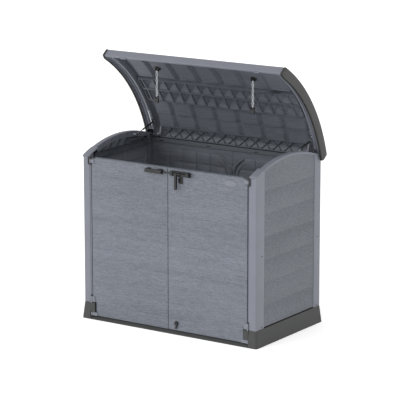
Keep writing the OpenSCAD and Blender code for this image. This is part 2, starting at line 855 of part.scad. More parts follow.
module strut_tube(s) {
    bore_r = strut_rod_r + run_gap;
    color(black) strut_pose(s) difference() {
        union() {
            rod_x(-eye_t / 2, eye_t / 2, eye_r);
            rod_y(4, 14, eye_t / 2);
            rod_y(13, strut_tube_l, strut_r);
        }
        rod_x(-eye_t, eye_t, 4 + run_gap);
        rod_y(20, strut_tube_l + 1, bore_r);
    }
}

// the rod, and the pin that stands in for its joint with the wall's stud
module strut_rod(s) {
    inside = 30;
    color(metal) strut_pose(s) {
        rod_y(strut_tube_l - inside, strut_l, strut_rod_r);
        translate([0, strut_l, 0]) rod_x(-eye_t / 2, eye_t / 2, eye_r);
    }
}

// screw heads along the lid's rails
module lid_screws() {
    color(black) both_sides() lid_pose()
        for (f = [0.16 : 0.17 : 0.9]) {
            y = lip_y + 20 + f * (rail_end_y - lip_y);
            translate([trim_x0 - 10, y, arc_z(rail_bottom_r, y) - seat_gap])
                rotate([-asin((y - arch_y) / rail_bottom_r), 0, 0])
                    translate([0, 0, -2.2]) cylinder(r = 4, h = 2.2 - seat_gap);
        }
}

module post_screws() {
    color(black) both_sides()
        for (y = [post_y + 70, rear_face_y - 50], z = [base_h + 14, base_h + 500])
            translate([wall_x + seat_gap, y, z]) rotate([0, 0, 90]) screw_head(3.5);
}

// ---------- chains ----------

module half_ring(r, wire) {
    rotate_extrude(angle = 180) translate([r, 0]) circle(wire, $fn = 48);
}

// one link in the XZ plane about its middle
module chain_link() {
    rotate([90, 0, 0]) {
        translate([0, link_straight / 2, 0]) half_ring(link_bend_r, wire_r);
        translate([0, -link_straight / 2, 0]) rotate([0, 0, 180]) half_ring(link_bend_r, wire_r);
        for (x = [-1, 1])
            translate([x * link_bend_r, -link_straight / 2, 0]) rotate([-90, 0, 0])
                cylinder(r = wire_r, h = link_straight, $fn = 48);
    }
}

// black holders on the lid's liner, each with a steel bar for the first link
module chain_anchors() {
    color(black) both_sides() {
        lid_pose() translate([chain_x, chain_foot[0], chain_foot[1]]) rotate([chain_slope, 0, 0])
            translate([0, 0, -9]) cylinder(r = 22, h = 9 - 2 * seat_gap);
        lid_pose() translate([chain_x, chain_foot[0], chain_foot[1]]) rotate([chain_slope, 0, 0])
            for (x = [-1, 1])
                translate([x * 12.5 - 2.5, -6, -chain_stand - 4]) cube([5, 12, chain_stand - 4]);
        translate([chain_x, ring[0], ring[1]]) rod_x(-11, 11, wire_r);
    }
}

module chain(s) {
    color(metal) on_side(s) translate([chain_x, ring[0], first_link_z])
        for (k = [0 : chain_links - 1])
            translate([0, 0, -k * link_pitch]) rotate([0, 0, k % 2 == 0 ? 90 : 0]) chain_link();
}

// black grip for a bin lid, hung from the last link by its bar
module chain_clip(s) {
    foot = -42;
    color(black) on_side(s) translate([chain_x, ring[0], clip_bar_z]) {
        for (x = [-1, 1])
            translate([x * 10.5 - 2.5, -6, -14]) cube([5, 12, 18]);
        rod_x(-9, 9, wire_r);
        translate([-13, -6, foot]) cube([26, 12, -13 - foot]);
        translate([-13, -9, foot]) cube([26, 18, 6]);
    }
}

// ---------- drawing ----------

base_rim();
base_floor();
base_ramp();
base_hinge_blocks();
front_post(-1);  // post_front_left
front_post(1);  // post_front_right
rear_post(-1);  // post_rear_left
rear_post(1);  // post_rear_right
arch_rail(-1);  // arch_rail_left
arch_rail(1);  // arch_rail_right
arch_liner(-1);  // arch_liner_left
arch_liner(1);  // arch_liner_right
side_panel(-1);  // side_panel_left
side_panel(1);  // side_panel_right
rear_panel(-1);  // rear_panel_left
rear_panel(1);  // rear_panel_right
rear_rail();
door_hinge_pins();
post_hinge_brackets();
lid_hinge_brackets();
lid_hinge_pins();
strut_anchors();
post_screws();
door_skin(-1);  // door_skin_left
door_back(-1);  // door_back_left
door_hinges(-1);  // door_hinges_left
door_skin(1);  // door_skin_right
door_back(1);  // door_back_right
door_hinges(1);  // door_hinges_right
bolt_keeper();
bolt_stub();
bolt_guide();
bolt_hood();
padlock_hasp();
door_badge();
bolt_bar();
bolt_lever();
catch_plate();
catch_turn();
lid_skin();
lid_liner();
lid_lip();
lid_trim(-1);  // lid_trim_left
lid_trim(1);  // lid_trim_right
lid_rail(-1);  // lid_rail_left
lid_rail(1);  // lid_rail_right
lid_hinge_ears();
lid_screws();
strut_brackets();
strut_tube(-1);  // strut_tube_left
strut_tube(1);  // strut_tube_right
strut_rod(-1);  // strut_rod_left
strut_rod(1);  // strut_rod_right
chain_anchors();
chain(-1);  // chain_left
chain(1);  // chain_right
chain_clip(-1);  // chain_clip_left
chain_clip(1);  // chain_clip_right
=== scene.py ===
"""Looks of an upright garden storage box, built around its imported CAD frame.

The box is moulded resin on a dark base: hollow posts, arched side walls, two doors
with a wood grain, a bowed lid with a ribbed liner, and steel latch, struts and chains.
"""

import json
import logging
import math
from collections.abc import Callable, Sequence
from dataclasses import dataclass
from enum import Enum

import bmesh
import bpy
from mathutils import Matrix, Vector


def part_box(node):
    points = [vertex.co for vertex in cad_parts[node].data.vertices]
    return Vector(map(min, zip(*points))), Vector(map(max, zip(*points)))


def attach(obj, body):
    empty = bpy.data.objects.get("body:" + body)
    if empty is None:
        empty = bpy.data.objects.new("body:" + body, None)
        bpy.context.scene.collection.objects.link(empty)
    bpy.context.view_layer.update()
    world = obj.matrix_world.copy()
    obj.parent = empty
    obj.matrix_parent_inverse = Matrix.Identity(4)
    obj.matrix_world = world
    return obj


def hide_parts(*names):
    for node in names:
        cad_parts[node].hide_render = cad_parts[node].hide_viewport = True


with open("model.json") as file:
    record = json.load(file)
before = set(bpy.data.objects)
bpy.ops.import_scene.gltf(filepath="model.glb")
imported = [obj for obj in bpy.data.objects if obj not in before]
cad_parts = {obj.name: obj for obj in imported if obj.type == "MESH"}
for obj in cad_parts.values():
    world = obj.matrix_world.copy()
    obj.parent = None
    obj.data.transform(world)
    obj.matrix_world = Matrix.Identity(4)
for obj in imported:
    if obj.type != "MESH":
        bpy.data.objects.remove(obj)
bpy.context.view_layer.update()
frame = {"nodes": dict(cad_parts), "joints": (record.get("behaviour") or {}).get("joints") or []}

LOG = logging.getLogger("storage_box")

# edges sharper than this many degrees show as edges: plain shells, and faceted relief
PLAIN_CREASE = 32.0
RELIEF_CREASE = 8.0
WELD_GAP = 1e-5
BEVEL_FROM = math.radians(40)

Pair = tuple[float, float]
Point = tuple[float, float, float]
Ring = list[Point]
Place = Callable[[float, float, float], Point]


class Side(Enum):
    """Left or right end of the box, seen from the doors."""

    LEFT = -1
    RIGHT = 1

    @property
    def word(self) -> str:
        """The side as it stands in node names."""
        return self.name.lower()


# ---------------------------------------------------------------- shared places


@dataclass(frozen=True)
class Plan:
    """Places that the sub-assemblies share, in metres, taken from the frame.

    The side arches, the lid's skin and its liner are arcs about one centre.
    """

    arch_r: float = 1.034
    arch_y: float = 0.015

    @property
    def arch_z(self) -> float:
        """Height of the arcs' centre."""
        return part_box("arch_rail_right")[1].z - self.arch_r

    @property
    def hinge(self) -> tuple[float, float]:
        """Depth and height of the lid hinge."""
        _, y, z = self.joint("lid_hinge")["pos_m"]
        return y, z

    @property
    def lid_open(self) -> float:
        """Angle that the lid stands open at rest, in radians."""
        return math.radians(self.joint("lid_hinge")["range_deg"][1])

    @staticmethod
    def joint(name: str) -> dict:
        """The record's joint of that name."""
        return next(j for j in frame["joints"] if j["name"] == name)

    def arc_height(self, r: float, y: float) -> float:
        """Height of the arc of radius r at depth y."""
        return self.arch_z + math.sqrt(r * r - (y - self.arch_y) ** 2)

    def arc_angle(self, r: float, y: float) -> float:
        """Angle from the crown at which the arc of radius r reaches depth y."""
        return math.asin((y - self.arch_y) / r)

    def on_arc(self, x: float, r: float, a: float) -> Point:
        """A point of the walls' arch from its radius and angle."""
        return x, self.arch_y + r * math.sin(a), self.arch_z + r * math.cos(a)

    def on_lid(self, x: float, y: float, z: float) -> Point:
        """Turns a point of the closed lid to where it lies with the lid open.

        Args:
            x: Its place along the hinge.
            y: Its depth with the lid closed.
            z: Its height with the lid closed.

        Returns:
            The point as it lies at rest.
        """
        hinge_y, hinge_z = self.hinge
        c, s = math.cos(self.lid_open), math.sin(self.lid_open)
        dy, dz = y - hinge_y, z - hinge_z
        return x, hinge_y + dy * c + dz * s, hinge_z - dy * s + dz * c

    def on_lid_arc(self, x: float, r: float, a: float) -> Point:
        """A point of the open lid from its radius and angle when closed."""
        return self.on_lid(*self.on_arc(x, r, a))


PLAN = Plan()


def as_drawn(x: float, y: float, z: float) -> Point:
    """Leaves a point where it is."""
    return x, y, z


def mirrored(place: Place, side: Side) -> Place:
    """Turns a place for the right side into one for the given side.

    Args:
        place: Places a point that is drawn for the right side.
        side: Side that it is wanted on.

    Returns:
        Places the same point on that side.
    """

    def placed(x: float, y: float, z: float) -> Point:
        """Places one point, mirrored on the left."""
        px, py, pz = place(x, y, z)
        return side.value * px, py, pz

    return placed


def right_box(node: str) -> tuple[float, float, Vector, Vector]:
    """Extent of a CAD node, with its x as on the right side.

    Args:
        node: Its name.

    Returns:
        Inner end, outer end, lowest corner, highest corner.
    """
    low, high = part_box(node)
    inner, outer = sorted((abs(low.x), abs(high.x)))
    return inner, outer, low, high


def standing(pair: Pair, across: int, place: float) -> Point:
    """A section's point, stood at a place on the axis across the section.

    Args:
        pair: The point's two coordinates in the section.
        across: Number of the axis across the section.
        place: Place on that axis.

    Returns:
        The three coordinates.
    """
    point = list(pair)
    point.insert(across, place)
    return point[0], point[1], point[2]


def steps(start: float, end: float, count: int) -> list[float]:
    """Evenly spaced numbers, both ends included.

    Args:
        start: First number.
        end: Last number.
        count: How many gaps lie between them.

    Returns:
        count + 1 numbers.
    """
    return [start + (end - start) * i / count for i in range(count + 1)]


# ---------------------------------------------------------------- finishes


def linear(colour: str) -> tuple[float, float, float, float]:
    """Turns an sRGB hex colour into the linear colour that the shaders take.

    Args:
        colour: Six hex digits with a leading #.

    Returns:
        Red, green, blue and an alpha of 1.
    """
    parts = (int(colour[i : i + 2], 16) / 255 for i in (1, 3, 5))
    r, g, b = (
        c / 12.92 if c <= 0.04045 else ((c + 0.055) / 1.055) ** 2.4 for c in parts
    )
    return r, g, b, 1.0


def per_mm(x: float, y: float, z: float) -> tuple[float, float, float]:
    """Mapping scale for a pattern whose features are x, y and z millimetres long."""
    return 1000 / x, 1000 / y, 1000 / z


def add_node(
    tree: bpy.types.NodeTree,
    kind: str,
    settings: dict | None = None,
    sockets: dict | None = None,
    links: dict | None = None,
) -> bpy.types.Node:
    """Adds one shader node.

    Args:
        tree: Node tree that it goes into.
        kind: Blender's type name of the node.
        settings: Properties of the node.
        sockets: Values for unlinked inputs, by input name or number.
        links: Output sockets to link, by input name or number.

    Returns:
        The new node.
    """
    node = tree.nodes.new(kind)
    for key, value in (settings or {}).items():
        setattr(node, key, value)
    for key, value in (sockets or {}).items():
        node.inputs[key].default_value = value
    for key, source in (links or {}).items():
        tree.links.new(source, node.inputs[key])
    return node


class Finish:
    """A finish that makes one material and hands out the same one each time."""

    name: str

    def material(self) -> bpy.types.Material:
        """The Blender material of this finish.

        Returns:
            The material, made on the first call.
        """
        found = bpy.data.materials.get(self.name)
        if found:
            return found
        made = bpy.data.materials.new(self.name)
        made.use_nodes = True
        tree = made.node_tree
        tree.nodes.clear()
        shader = self.surface(tree)
        add_node(tree, "ShaderNodeOutputMaterial", links={"Surface": shader.outputs[0]})
        return made

    def surface(self, tree: bpy.types.NodeTree) -> bpy.types.Node:
        """Builds the shader of this finish.

        Args:
            tree: Node tree that it goes into.

        Returns:
            The shader.
        """
        raise NotImplementedError


def noise_at(
    tree: bpy.types.NodeTree,
    coords: bpy.types.NodeSocket,
    size_mm: tuple[float, float, float],
    detail: float,
) -> bpy.types.NodeSocket:
    """Noise whose features have the given size on the object.

    Args:
        tree: Node tree that it goes into.
        coords: Object coordinates in metres.
        size_mm: Length of a feature along each axis.
        detail: How many finer octaves are added.

    Returns:
        The noise's value socket.
    """
    mapped = add_node(
        tree,
        "ShaderNodeMapping",
        sockets={"Scale": per_mm(*size_mm)},
        links={"Vector": coords},
    )
    return add_node(
        tree,
        "ShaderNodeTexNoise",
        sockets={"Scale": 1.0, "Detail": detail, "Roughness": 0.55},
        links={"Vector": mapped.outputs[0]},
    ).outputs["Fac"]


def shaded(
    tree: bpy.types.NodeTree,
    value: bpy.types.NodeSocket,
    low: float,
    high: float,
    dark: str,
    light: str,
) -> bpy.types.NodeSocket:
    """Colours a value from dark at low to light at high.

    Args:
        tree: Node tree that it goes into.
        value: Value socket to read.
        low: Value that gives the dark colour.
        high: Value that gives the light colour.
        dark: sRGB hex colour.
        light: sRGB hex colour.

    Returns:
        The colour socket.
    """
    ramp = add_node(tree, "ShaderNodeValToRGB", links={"Fac": value})
    first, last = ramp.color_ramp.elements
    first.position, first.color = low, linear(dark)
    last.position, last.color = high, linear(light)
    return ramp.outputs["Color"]


def blended(
    tree: bpy.types.NodeTree,
    first: bpy.types.NodeSocket,
    second: bpy.types.NodeSocket,
    share: float,
) -> bpy.types.NodeSocket:
    """Mixes two colours.

    Args:
        tree: Node tree that it goes into.
        first: Colour socket.
        second: Colour socket.
        share: Share of the second colour.

    Returns:
        The mixed colour's socket.
    """
    mix = add_node(
        tree,
        "ShaderNodeMix",
        settings={"data_type": "RGBA"},
        sockets={0: share},
        links={6: first, 7: second},
    )
    return mix.outputs[2]


def skin(
    tree: bpy.types.NodeTree,
    colour: bpy.types.NodeSocket,
    height: bpy.types.NodeSocket,
    relief: Pair,
    sockets: dict[str, float],
) -> bpy.types.Node:
    """Surface with a coloured pattern and a relief.

    Args:
        tree: Node tree that it goes into.
        colour: Colour socket.
        height: Value socket of the relief.
        relief: Depth in metres and strength of the relief.
        sockets: The surface's constants, such as its roughness.

    Returns:
        The shader.
    """
    bump = add_node(
        tree,
        "ShaderNodeBump",
        sockets={"Distance": relief[0], "Strength": relief[1]},
        links={"Height": height},
    )
    return add_node(
        tree,
        "ShaderNodeBsdfPrincipled",
        sockets=sockets,
        links={"Base Color": colour, "Normal": bump.outputs[0]},
    )


@dataclass(frozen=True)
class MouldedResin(Finish):
    """Polypropylene moulded against a sparked tool: satin, with a fine even grain.

    The real grain is about 0.5 mm, too fine to show from a few metres, so it is
    drawn at grain_mm. Broad clouds are the flow marks of a large moulding.
    """

    name: str
    dark: str
    light: str
    grain_mm: float = 3.0
    grain_depth: float = 0.0002
    flow_mm: float = 220.0
    roughness: float = 0.5
    ior: float = 1.49

    def surface(self, tree: bpy.types.NodeTree) -> bpy.types.Node:
        """Builds the shader: flow clouds and grain in colour, grain in height.

        Args:
            tree: Node tree that it goes into.

        Returns:
            The shader.
        """
        coords = add_node(tree, "ShaderNodeTexCoord").outputs["Object"]
        grain = noise_at(tree, coords, (self.grain_mm,) * 3, 2.0)
        flow = noise_at(tree, coords, (self.flow_mm,) * 3, 2.0)
        colours = [
            shaded(tree, value, 0.3, 0.7, self.dark, self.light)
            for value in (grain, flow)
        ]
        colour = blended(tree, *colours, 0.5)
        sockets = {"Roughness": self.roughness, "IOR": self.ior}
        return skin(tree, colour, grain, (self.grain_depth, 0.6), sockets)


@dataclass(frozen=True)
class WoodGrainResin(Finish):
    """Polypropylene moulded against a wood-grained tool: long level streaks.

    Real streaks are 1 to 3 mm high, so they are drawn a little coarser to show,
    and flecks stand for the torn fibres between them.
    """

    name: str
    dark: str
    light: str
    streak_mm: tuple[float, float, float] = (55.0, 55.0, 4.5)
    fleck_mm: tuple[float, float, float] = (13.0, 13.0, 5.0)
    board_mm: float = 102.0
    fleck_share: float = 0.5
    board_share: float = 0.22
    relief: float = 0.0006
    roughness: float = 0.56
    ior: float = 1.49

    def surface(self, tree: bpy.types.NodeTree) -> bpy.types.Node:
        """Builds the shader: streaks, flecks and a slight change between boards.

        Args:
            tree: Node tree that it goes into.

        Returns:
            The shader.
        """
        coords = add_node(tree, "ShaderNodeTexCoord").outputs["Object"]
        streak = noise_at(tree, coords, self.streak_mm, 4.0)
        fleck = noise_at(tree, coords, self.fleck_mm, 3.0)
        board = noise_at(tree, coords, (900.0, 900.0, self.board_mm), 1.0)
        grain = blended(
            tree,
            shaded(tree, streak, 0.34, 0.66, self.dark, self.light),
            shaded(tree, fleck, 0.36, 0.64, self.dark, self.light),
            self.fleck_share,
        )
        change = shaded(tree, board, 0.3, 0.7, self.dark, self.light)
        colour = blended(tree, grain, change, self.board_share)
        height = add_node(
            tree,
            "ShaderNodeMath",
            settings={"operation": "ADD"},
            links={0: streak, 1: fleck},
        )
        sockets = {"Roughness": self.roughness, "IOR": self.ior}
        return skin(tree, colour, height.outputs[0], (self.relief, 0.5), sockets)


@dataclass(frozen=True)
class PowderCoatedSteel(Finish):
    """Black polyester powder baked on steel: satin, with an orange-peel skin.

    The peel's dimples are about 2 mm across.
    """

    name: str = "powder_coated_steel"
    dark: str = "#0c0d0d"
    light: str = "#191a1b"
    peel_mm: float = 2.0
    scuff_mm: tuple[float, float, float] = (25.0, 25.0, 8.0)
    roughness: float = 0.42
    ior: float = 1.5

    def surface(self, tree: bpy.types.NodeTree) -> bpy.types.Node:
        """Builds the shader: a near-black coat with peel in its height.

        Args:
            tree: Node tree that it goes into.

        Returns:
            The shader.
        """
        coords = add_node(tree, "ShaderNodeTexCoord").outputs["Object"]
        peel = noise_at(tree, coords, (self.peel_mm,) * 3, 1.0)
        scuff = noise_at(tree, coords, self.scuff_mm, 4.0)
        colour = shaded(tree, scuff, 0.35, 0.75, self.dark, self.light)
        sockets = {"Roughness": self.roughness, "IOR": self.ior}
        return skin(tree, colour, peel, (0.00015, 0.5), sockets)


@dataclass(frozen=True)
class ZincPlatedSteel(Finish):
    """Bright zinc plate on drawn steel: silvery, with faint draw lines.

    Draw lines are about 0.3 mm wide, drawn at 1 mm so that they show.
    """

    name: str = "zinc_plated_steel"
    dark: str = "#a9adb2"
    light: str = "#dcdfe2"
    line_mm: float = 1.0
    roughness: float = 0.34

    def surface(self, tree: bpy.types.NodeTree) -> bpy.types.Node:
        """Builds the shader: metal whose colour and height carry the draw lines.

        Args:
            tree: Node tree that it goes into.

        Returns:
            The shader.
        """
        coords = add_node(tree, "ShaderNodeTexCoord").outputs["Object"]
        lines = noise_at(tree, coords, (self.line_mm, self.line_mm, 18.0), 2.0)
        colour = shaded(tree, lines, 0.3, 0.7, self.dark, self.light)
        sockets = {"Metallic": 1.0, "Roughness": self.roughness}
        return skin(tree, colour, lines, (0.0001, 0.4), sockets)


@dataclass(frozen=True)
class OpalAcrylic(Finish):
    """Opal white acrylic, cast and matt: lit from below, so shadows stay faint."""

    name: str = "opal_acrylic_table"
    glow: float = 0.34

    def surface(self, tree: bpy.types.NodeTree) -> bpy.types.Node:
        """Builds the shader: nearly pure white, fully rough, with an even glow.

        Args:
            tree: Node tree that it goes into.

        Returns:
            The shader.
        """
        coords = add_node(tree, "ShaderNodeTexCoord").outputs["Object"]
        cloud = noise_at(tree, coords, (900.0, 900.0, 900.0), 1.0)
        return add_node(
            tree,
            "ShaderNodeBsdfPrincipled",
            sockets={
                "Roughness": 1.0,
                "Specular IOR Level": 0.0,
                "Emission Color": linear("#ffffff"),
                "Emission Strength": self.glow,
            },
            links={"Base Color": shaded(tree, cloud, 0.2, 0.8, "#fbfbfb", "#fdfdfd")},
        )


PALE_RESIN = MouldedResin("pale_grey_moulded_resin", "#696b75", "#737780")
CHARCOAL_RESIN = MouldedResin(
    "charcoal_moulded_resin", "#2e2f2f", "#373837", roughness=0.56
)
TRIM_RESIN = MouldedResin("charcoal_trim_resin", "#272827", "#313230", roughness=0.5)
DARK_RESIN = MouldedResin(
    "dark_grey_moulded_resin", "#494d53", "#565b62", grain_mm=4.0, roughness=0.58
)
MID_RESIN = MouldedResin("mid_grey_moulded_resin", "#6c7078", "#777b84", roughness=0.55)
BLACK_NYLON = MouldedResin(
    "black_moulded_nylon", "#0e0f10", "#181919", grain_mm=2.0, roughness=0.46, ior=1.53
)
# near-black strips that fill the gaps beside the lid's end trims and under its flange at the
# hinge rail: painted shade
BLACK_SHADE_STRIP = MouldedResin(
    "black_rubber_seal", "#0d0e0e", "#161717", grain_mm=2.0, roughness=0.8, ior=1.52
)
DOOR_GRAIN = WoodGrainResin("door_wood_grain_resin", "#4e535b", "#757983")
WALL_GRAIN = WoodGrainResin(
    "wall_wood_grain_resin", "#484c53", "#6c7077", board_mm=155.0, fleck_share=0.7
)
LINER_GRAIN = WoodGrainResin(
    "liner_streaked_resin",
    "#4e5159",
    "#636870",
    streak_mm=(160.0, 9.0, 9.0),
    fleck_mm=(60.0, 18.0, 18.0),
    fleck_share=0.35,
    relief=0.0004,
    roughness=0.6,
)
PALE_GRAIN = WoodGrainResin(
    "lid_wood_grain_resin",
    "#62656d",
    "#737780",
    streak_mm=(70.0, 5.0, 5.0),
    fleck_mm=(15.0, 6.0, 6.0),
)
STEEL_BLACK = PowderCoatedSteel()
STEEL_ZINC = ZincPlatedSteel()


# ---------------------------------------------------------------- mesh making


class Mould:
    """Gathers closed shells that together make one piece's mesh."""

    def __init__(self, place: Place = as_drawn) -> None:
        """Starts an empty mould.

        Args:
            place: Turns the coordinates that shells are given in into the frame's.
        """
        self.place = place
        self.points: list[Point] = []
        self.faces: list[tuple[int, ...]] = []

    def loft(self, rings: Sequence[Ring]) -> None:
        """Skins rings of matching points and caps both ends.

        Args:
            rings: Rings in order; a last ring of one point closes to a tip.
        """
        starts = []
        for ring in rings:
            starts.append(len(self.points))
            self.points.extend(self.place(*point) for point in ring)
        count = len(rings[0])
        for k in range(len(rings) - 1):
            a, b = starts[k], starts[k + 1]
            for i in range(count):
                j = (i + 1) % count
                if len(rings[k + 1]) == 1:
                    self.faces.append((a + i, a + j, b))
                else:
                    self.faces.append((a + i, a + j, b + j, b + i))
        self.faces.append(tuple(range(starts[0], starts[0] + count)))
        if len(rings[-1]) > 1:
            self.faces.append(tuple(range(starts[-1], starts[-1] + count)))

    def brick(self, low: Point, high: Point, along: int = 0, cuts: int = 1) -> None:
        """Adds a box, cut into slices along one axis so that it can follow an arc.

        Args:
            low: Lowest corner.
            high: Highest corner.
            along: Number of the axis that is cut.
            cuts: How many slices.
        """
        u, v = [axis for axis in range(3) if axis != along]
        rings = []
        for t in steps(low[along], high[along], cuts):
            ring = []
            for du, dv in ((0, 0), (1, 0), (1, 1), (0, 1)):
                corner = [0.0, 0.0, 0.0]
                corner[along] = t
                corner[u] = high[u] if du else low[u]
                corner[v] = high[v] if dv else low[v]
                ring.append((corner[0], corner[1], corner[2]))
            rings.append(ring)
        self.loft(rings)

    def run(
        self, section: Sequence[Pair], places: Sequence[float], across: int = 0
    ) -> None:
        """Runs one section along an axis.

        Args:
            section: Its outline.
            places: Places on the axis across it.
            across: Number of that axis.
        """
        self.loft([[standing(p, across, t) for p in section] for t in places])

    def pillow(
        self,
        across: int,
        base: float,
        u: Pair,
        v: Pair,
        radii: tuple[float, ...],
        profile: Sequence[Pair],
        cuts: int = 4,
    ) -> None:
        """Adds a raised pad: a rectangle with round corners that draws in as it rises.

        Args:
            across: Number of the axis that it rises along.
            base: Place of its foot on that axis.
            u: Its ends along the first of the other axes.
            v: Its ends along the second of them.
            radii: Radius of each corner, or one for all four.
            profile: (place above the foot, inset) of each ring.
            cuts: How many pieces each round corner has.
        """
        rings = []
        for rise, inset in profile:
            outline = rounded_rectangle(u, v, radii, inset, cuts)
            rings.append([standing(p, across, base + rise) for p in outline])
        self.loft(rings)

    def mesh(self, name: str, crease: float = PLAIN_CREASE) -> bpy.types.Mesh:
        """Makes the mesh, smooth except across sharp edges.

        Args:
            name: Its name.
            crease: Angle in degrees from which an edge shows as sharp.

        Returns:
            The new mesh.
        """
        mesh = bpy.data.meshes.new(name)
        mesh.from_pydata(self.points, [], self.faces)
        work = bmesh.new()
        work.from_mesh(mesh)
        bmesh.ops.remove_doubles(work, verts=work.verts, dist=1e-7)
        bmesh.ops.recalc_face_normals(work, faces=work.faces)
        work.to_mesh(mesh)
        work.free()
        mesh.polygons.foreach_set("use_smooth", [True] * len(mesh.polygons))
        mesh.set_sharp_from_angle(angle=math.radians(crease))
        return mesh


def add_piece(
    name: str,
    mould: Mould,
    finish: Finish,
    body: str,
    stands_for: Sequence[str] = (),
    crease: float = PLAIN_CREASE,
) -> None:
    """Adds one piece to the scene and fixes it to its body.

    Args:
        name: Piece name.
        mould: Its shells.
        finish: Its finish.
        body: CAD body that it moves with.
        stands_for: CAD nodes that it replaces.
        crease: Angle in degrees from which an edge shows as sharp.
    """
    piece = bpy.data.objects.new(name, mould.mesh(name, crease))
    bpy.context.scene.collection.objects.link(piece)
    piece.data.materials.append(finish.material())
    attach(piece, body)
    if stands_for:
        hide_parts(*stands_for)
    LOG.info("%s: %d faces on %s", name, len(piece.data.polygons), body)


def soften(piece: bpy.types.Object, edge: float) -> None:
    """Rounds a piece's sharp edges with modifiers, and leaves its mesh alone.

    Args:
        piece: The piece or CAD node.
        edge: Radius of the rounding, in metres.
    """
    weld = piece.modifiers.new("joined_corners", "WELD")
    weld.merge_threshold = WELD_GAP
    bevel = piece.modifiers.new("rounded_edges", "BEVEL")
    bevel.width = edge
    bevel.segments = 2
    bevel.limit_method = "ANGLE"
    bevel.angle_limit = BEVEL_FROM
    bevel.harden_normals = True


def dress(finish: Finish, *names: str, edge: float = 0.0) -> None:
    """Gives CAD nodes a finish and, if edge is set, rounded edges.

    Args:
        finish: The finish.
        *names: The CAD nodes.
        edge: Radius of the rounding, in metres.
    """
    for name in names:
        node = frame["nodes"][name]
        node.data.materials.clear()
        node.data.materials.append(finish.material())
        if edge:
            soften(node, edge)
        LOG.info("%s: CAD shape, %s", name, finish.name)


def rounded_outline(corners: Sequence[Point], cuts: int = 4) -> list[Pair]:
    """Rounds the corners of a closed outline.

    Args:
        corners: (u, v, radius) of each corner.
        cuts: How many pieces each round corner has.

    Returns:
        The outline's points.
    """
    out: list[Pair] = []
    count = len(corners)
    for i, (u, v, radius) in enumerate(corners):
        if radius == 0:
            out.append((u, v))
            continue
        here = Vector((u, v))
        before = (Vector(corners[i - 1][:2]) - here).normalized()
        after = (Vector(corners[(i + 1) % count][:2]) - here).normalized()
        half = before.angle(after) / 2
        reach = radius / math.tan(half)
        centre = here + (before + after).normalized() * radius / math.sin(half)
        start, end = here + before * reach - centre, here + after * reach - centre
        sweep = start.angle_signed(end)
        for t in steps(0.0, 1.0, cuts):
            turned = Matrix.Rotation(-sweep * t, 2) @ start
            out.append((centre.x + turned.x, centre.y + turned.y))
    return out


def rounded_rectangle(
    u: Pair, v: Pair, radii: tuple[float, ...], inset: float = 0.0, cuts: int = 4
) -> list[Pair]:
    """Outline of a rectangle with round corners.

    Args:
        u: Its two ends along the first axis.
        v: Its two ends along the second axis.
        radii: Radius of each corner from the low ends on, or one for all four.
        inset: How far each side is drawn in.
        cuts: How many pieces each round corner has.

    Returns:
        The outline's points.
    """
    u0, u1 = u[0] + inset, u[1] - inset
    v0, v1 = v[0] + inset, v[1] - inset
    each = radii if len(radii) == 4 else radii * 4
    spots = ((u0, v0), (u1, v0), (u1, v1), (u0, v1))
    return rounded_outline([(*spot, r) for spot, r in zip(spots, each)], cuts)


def boards(
    low: float, high: float, seams: Sequence[float], width: float, depth: float
) -> list[Pair]:
    """A face's section from low to high with a V groove at each seam.

    Args:
        low: Foot of the face.
        high: Top of the face.
        seams: Places of the grooves.
        width: Width of a groove.
        depth: Depth of a groove.

    Returns:
        (place along the face, depth below it) pairs.
    """
    out = [(low, 0.0)]
    for seam in sorted(seams):
        if low + 2 * width < seam < high - 2 * width:
            out += [(seam - width / 2, 0.0), (seam, depth), (seam + width / 2, 0.0)]
    out.append((high, 0.0))
    return out


# ---------------------------------------------------------------- base and walls


@dataclass
class Base:
    """Dark base: skirt with its ledge, floor, stepped threshold and hinge ears."""

    edge: float = 0.0025

    def build(self) -> None:
        """Dresses the base's CAD nodes."""
        dress(CHARCOAL_RESIN, "base_rim", edge=self.edge)
        dress(CHARCOAL_RESIN, "base_floor", "base_ramp")
        dress(CHARCOAL_RESIN, "base_hinge_blocks", edge=0.0015)


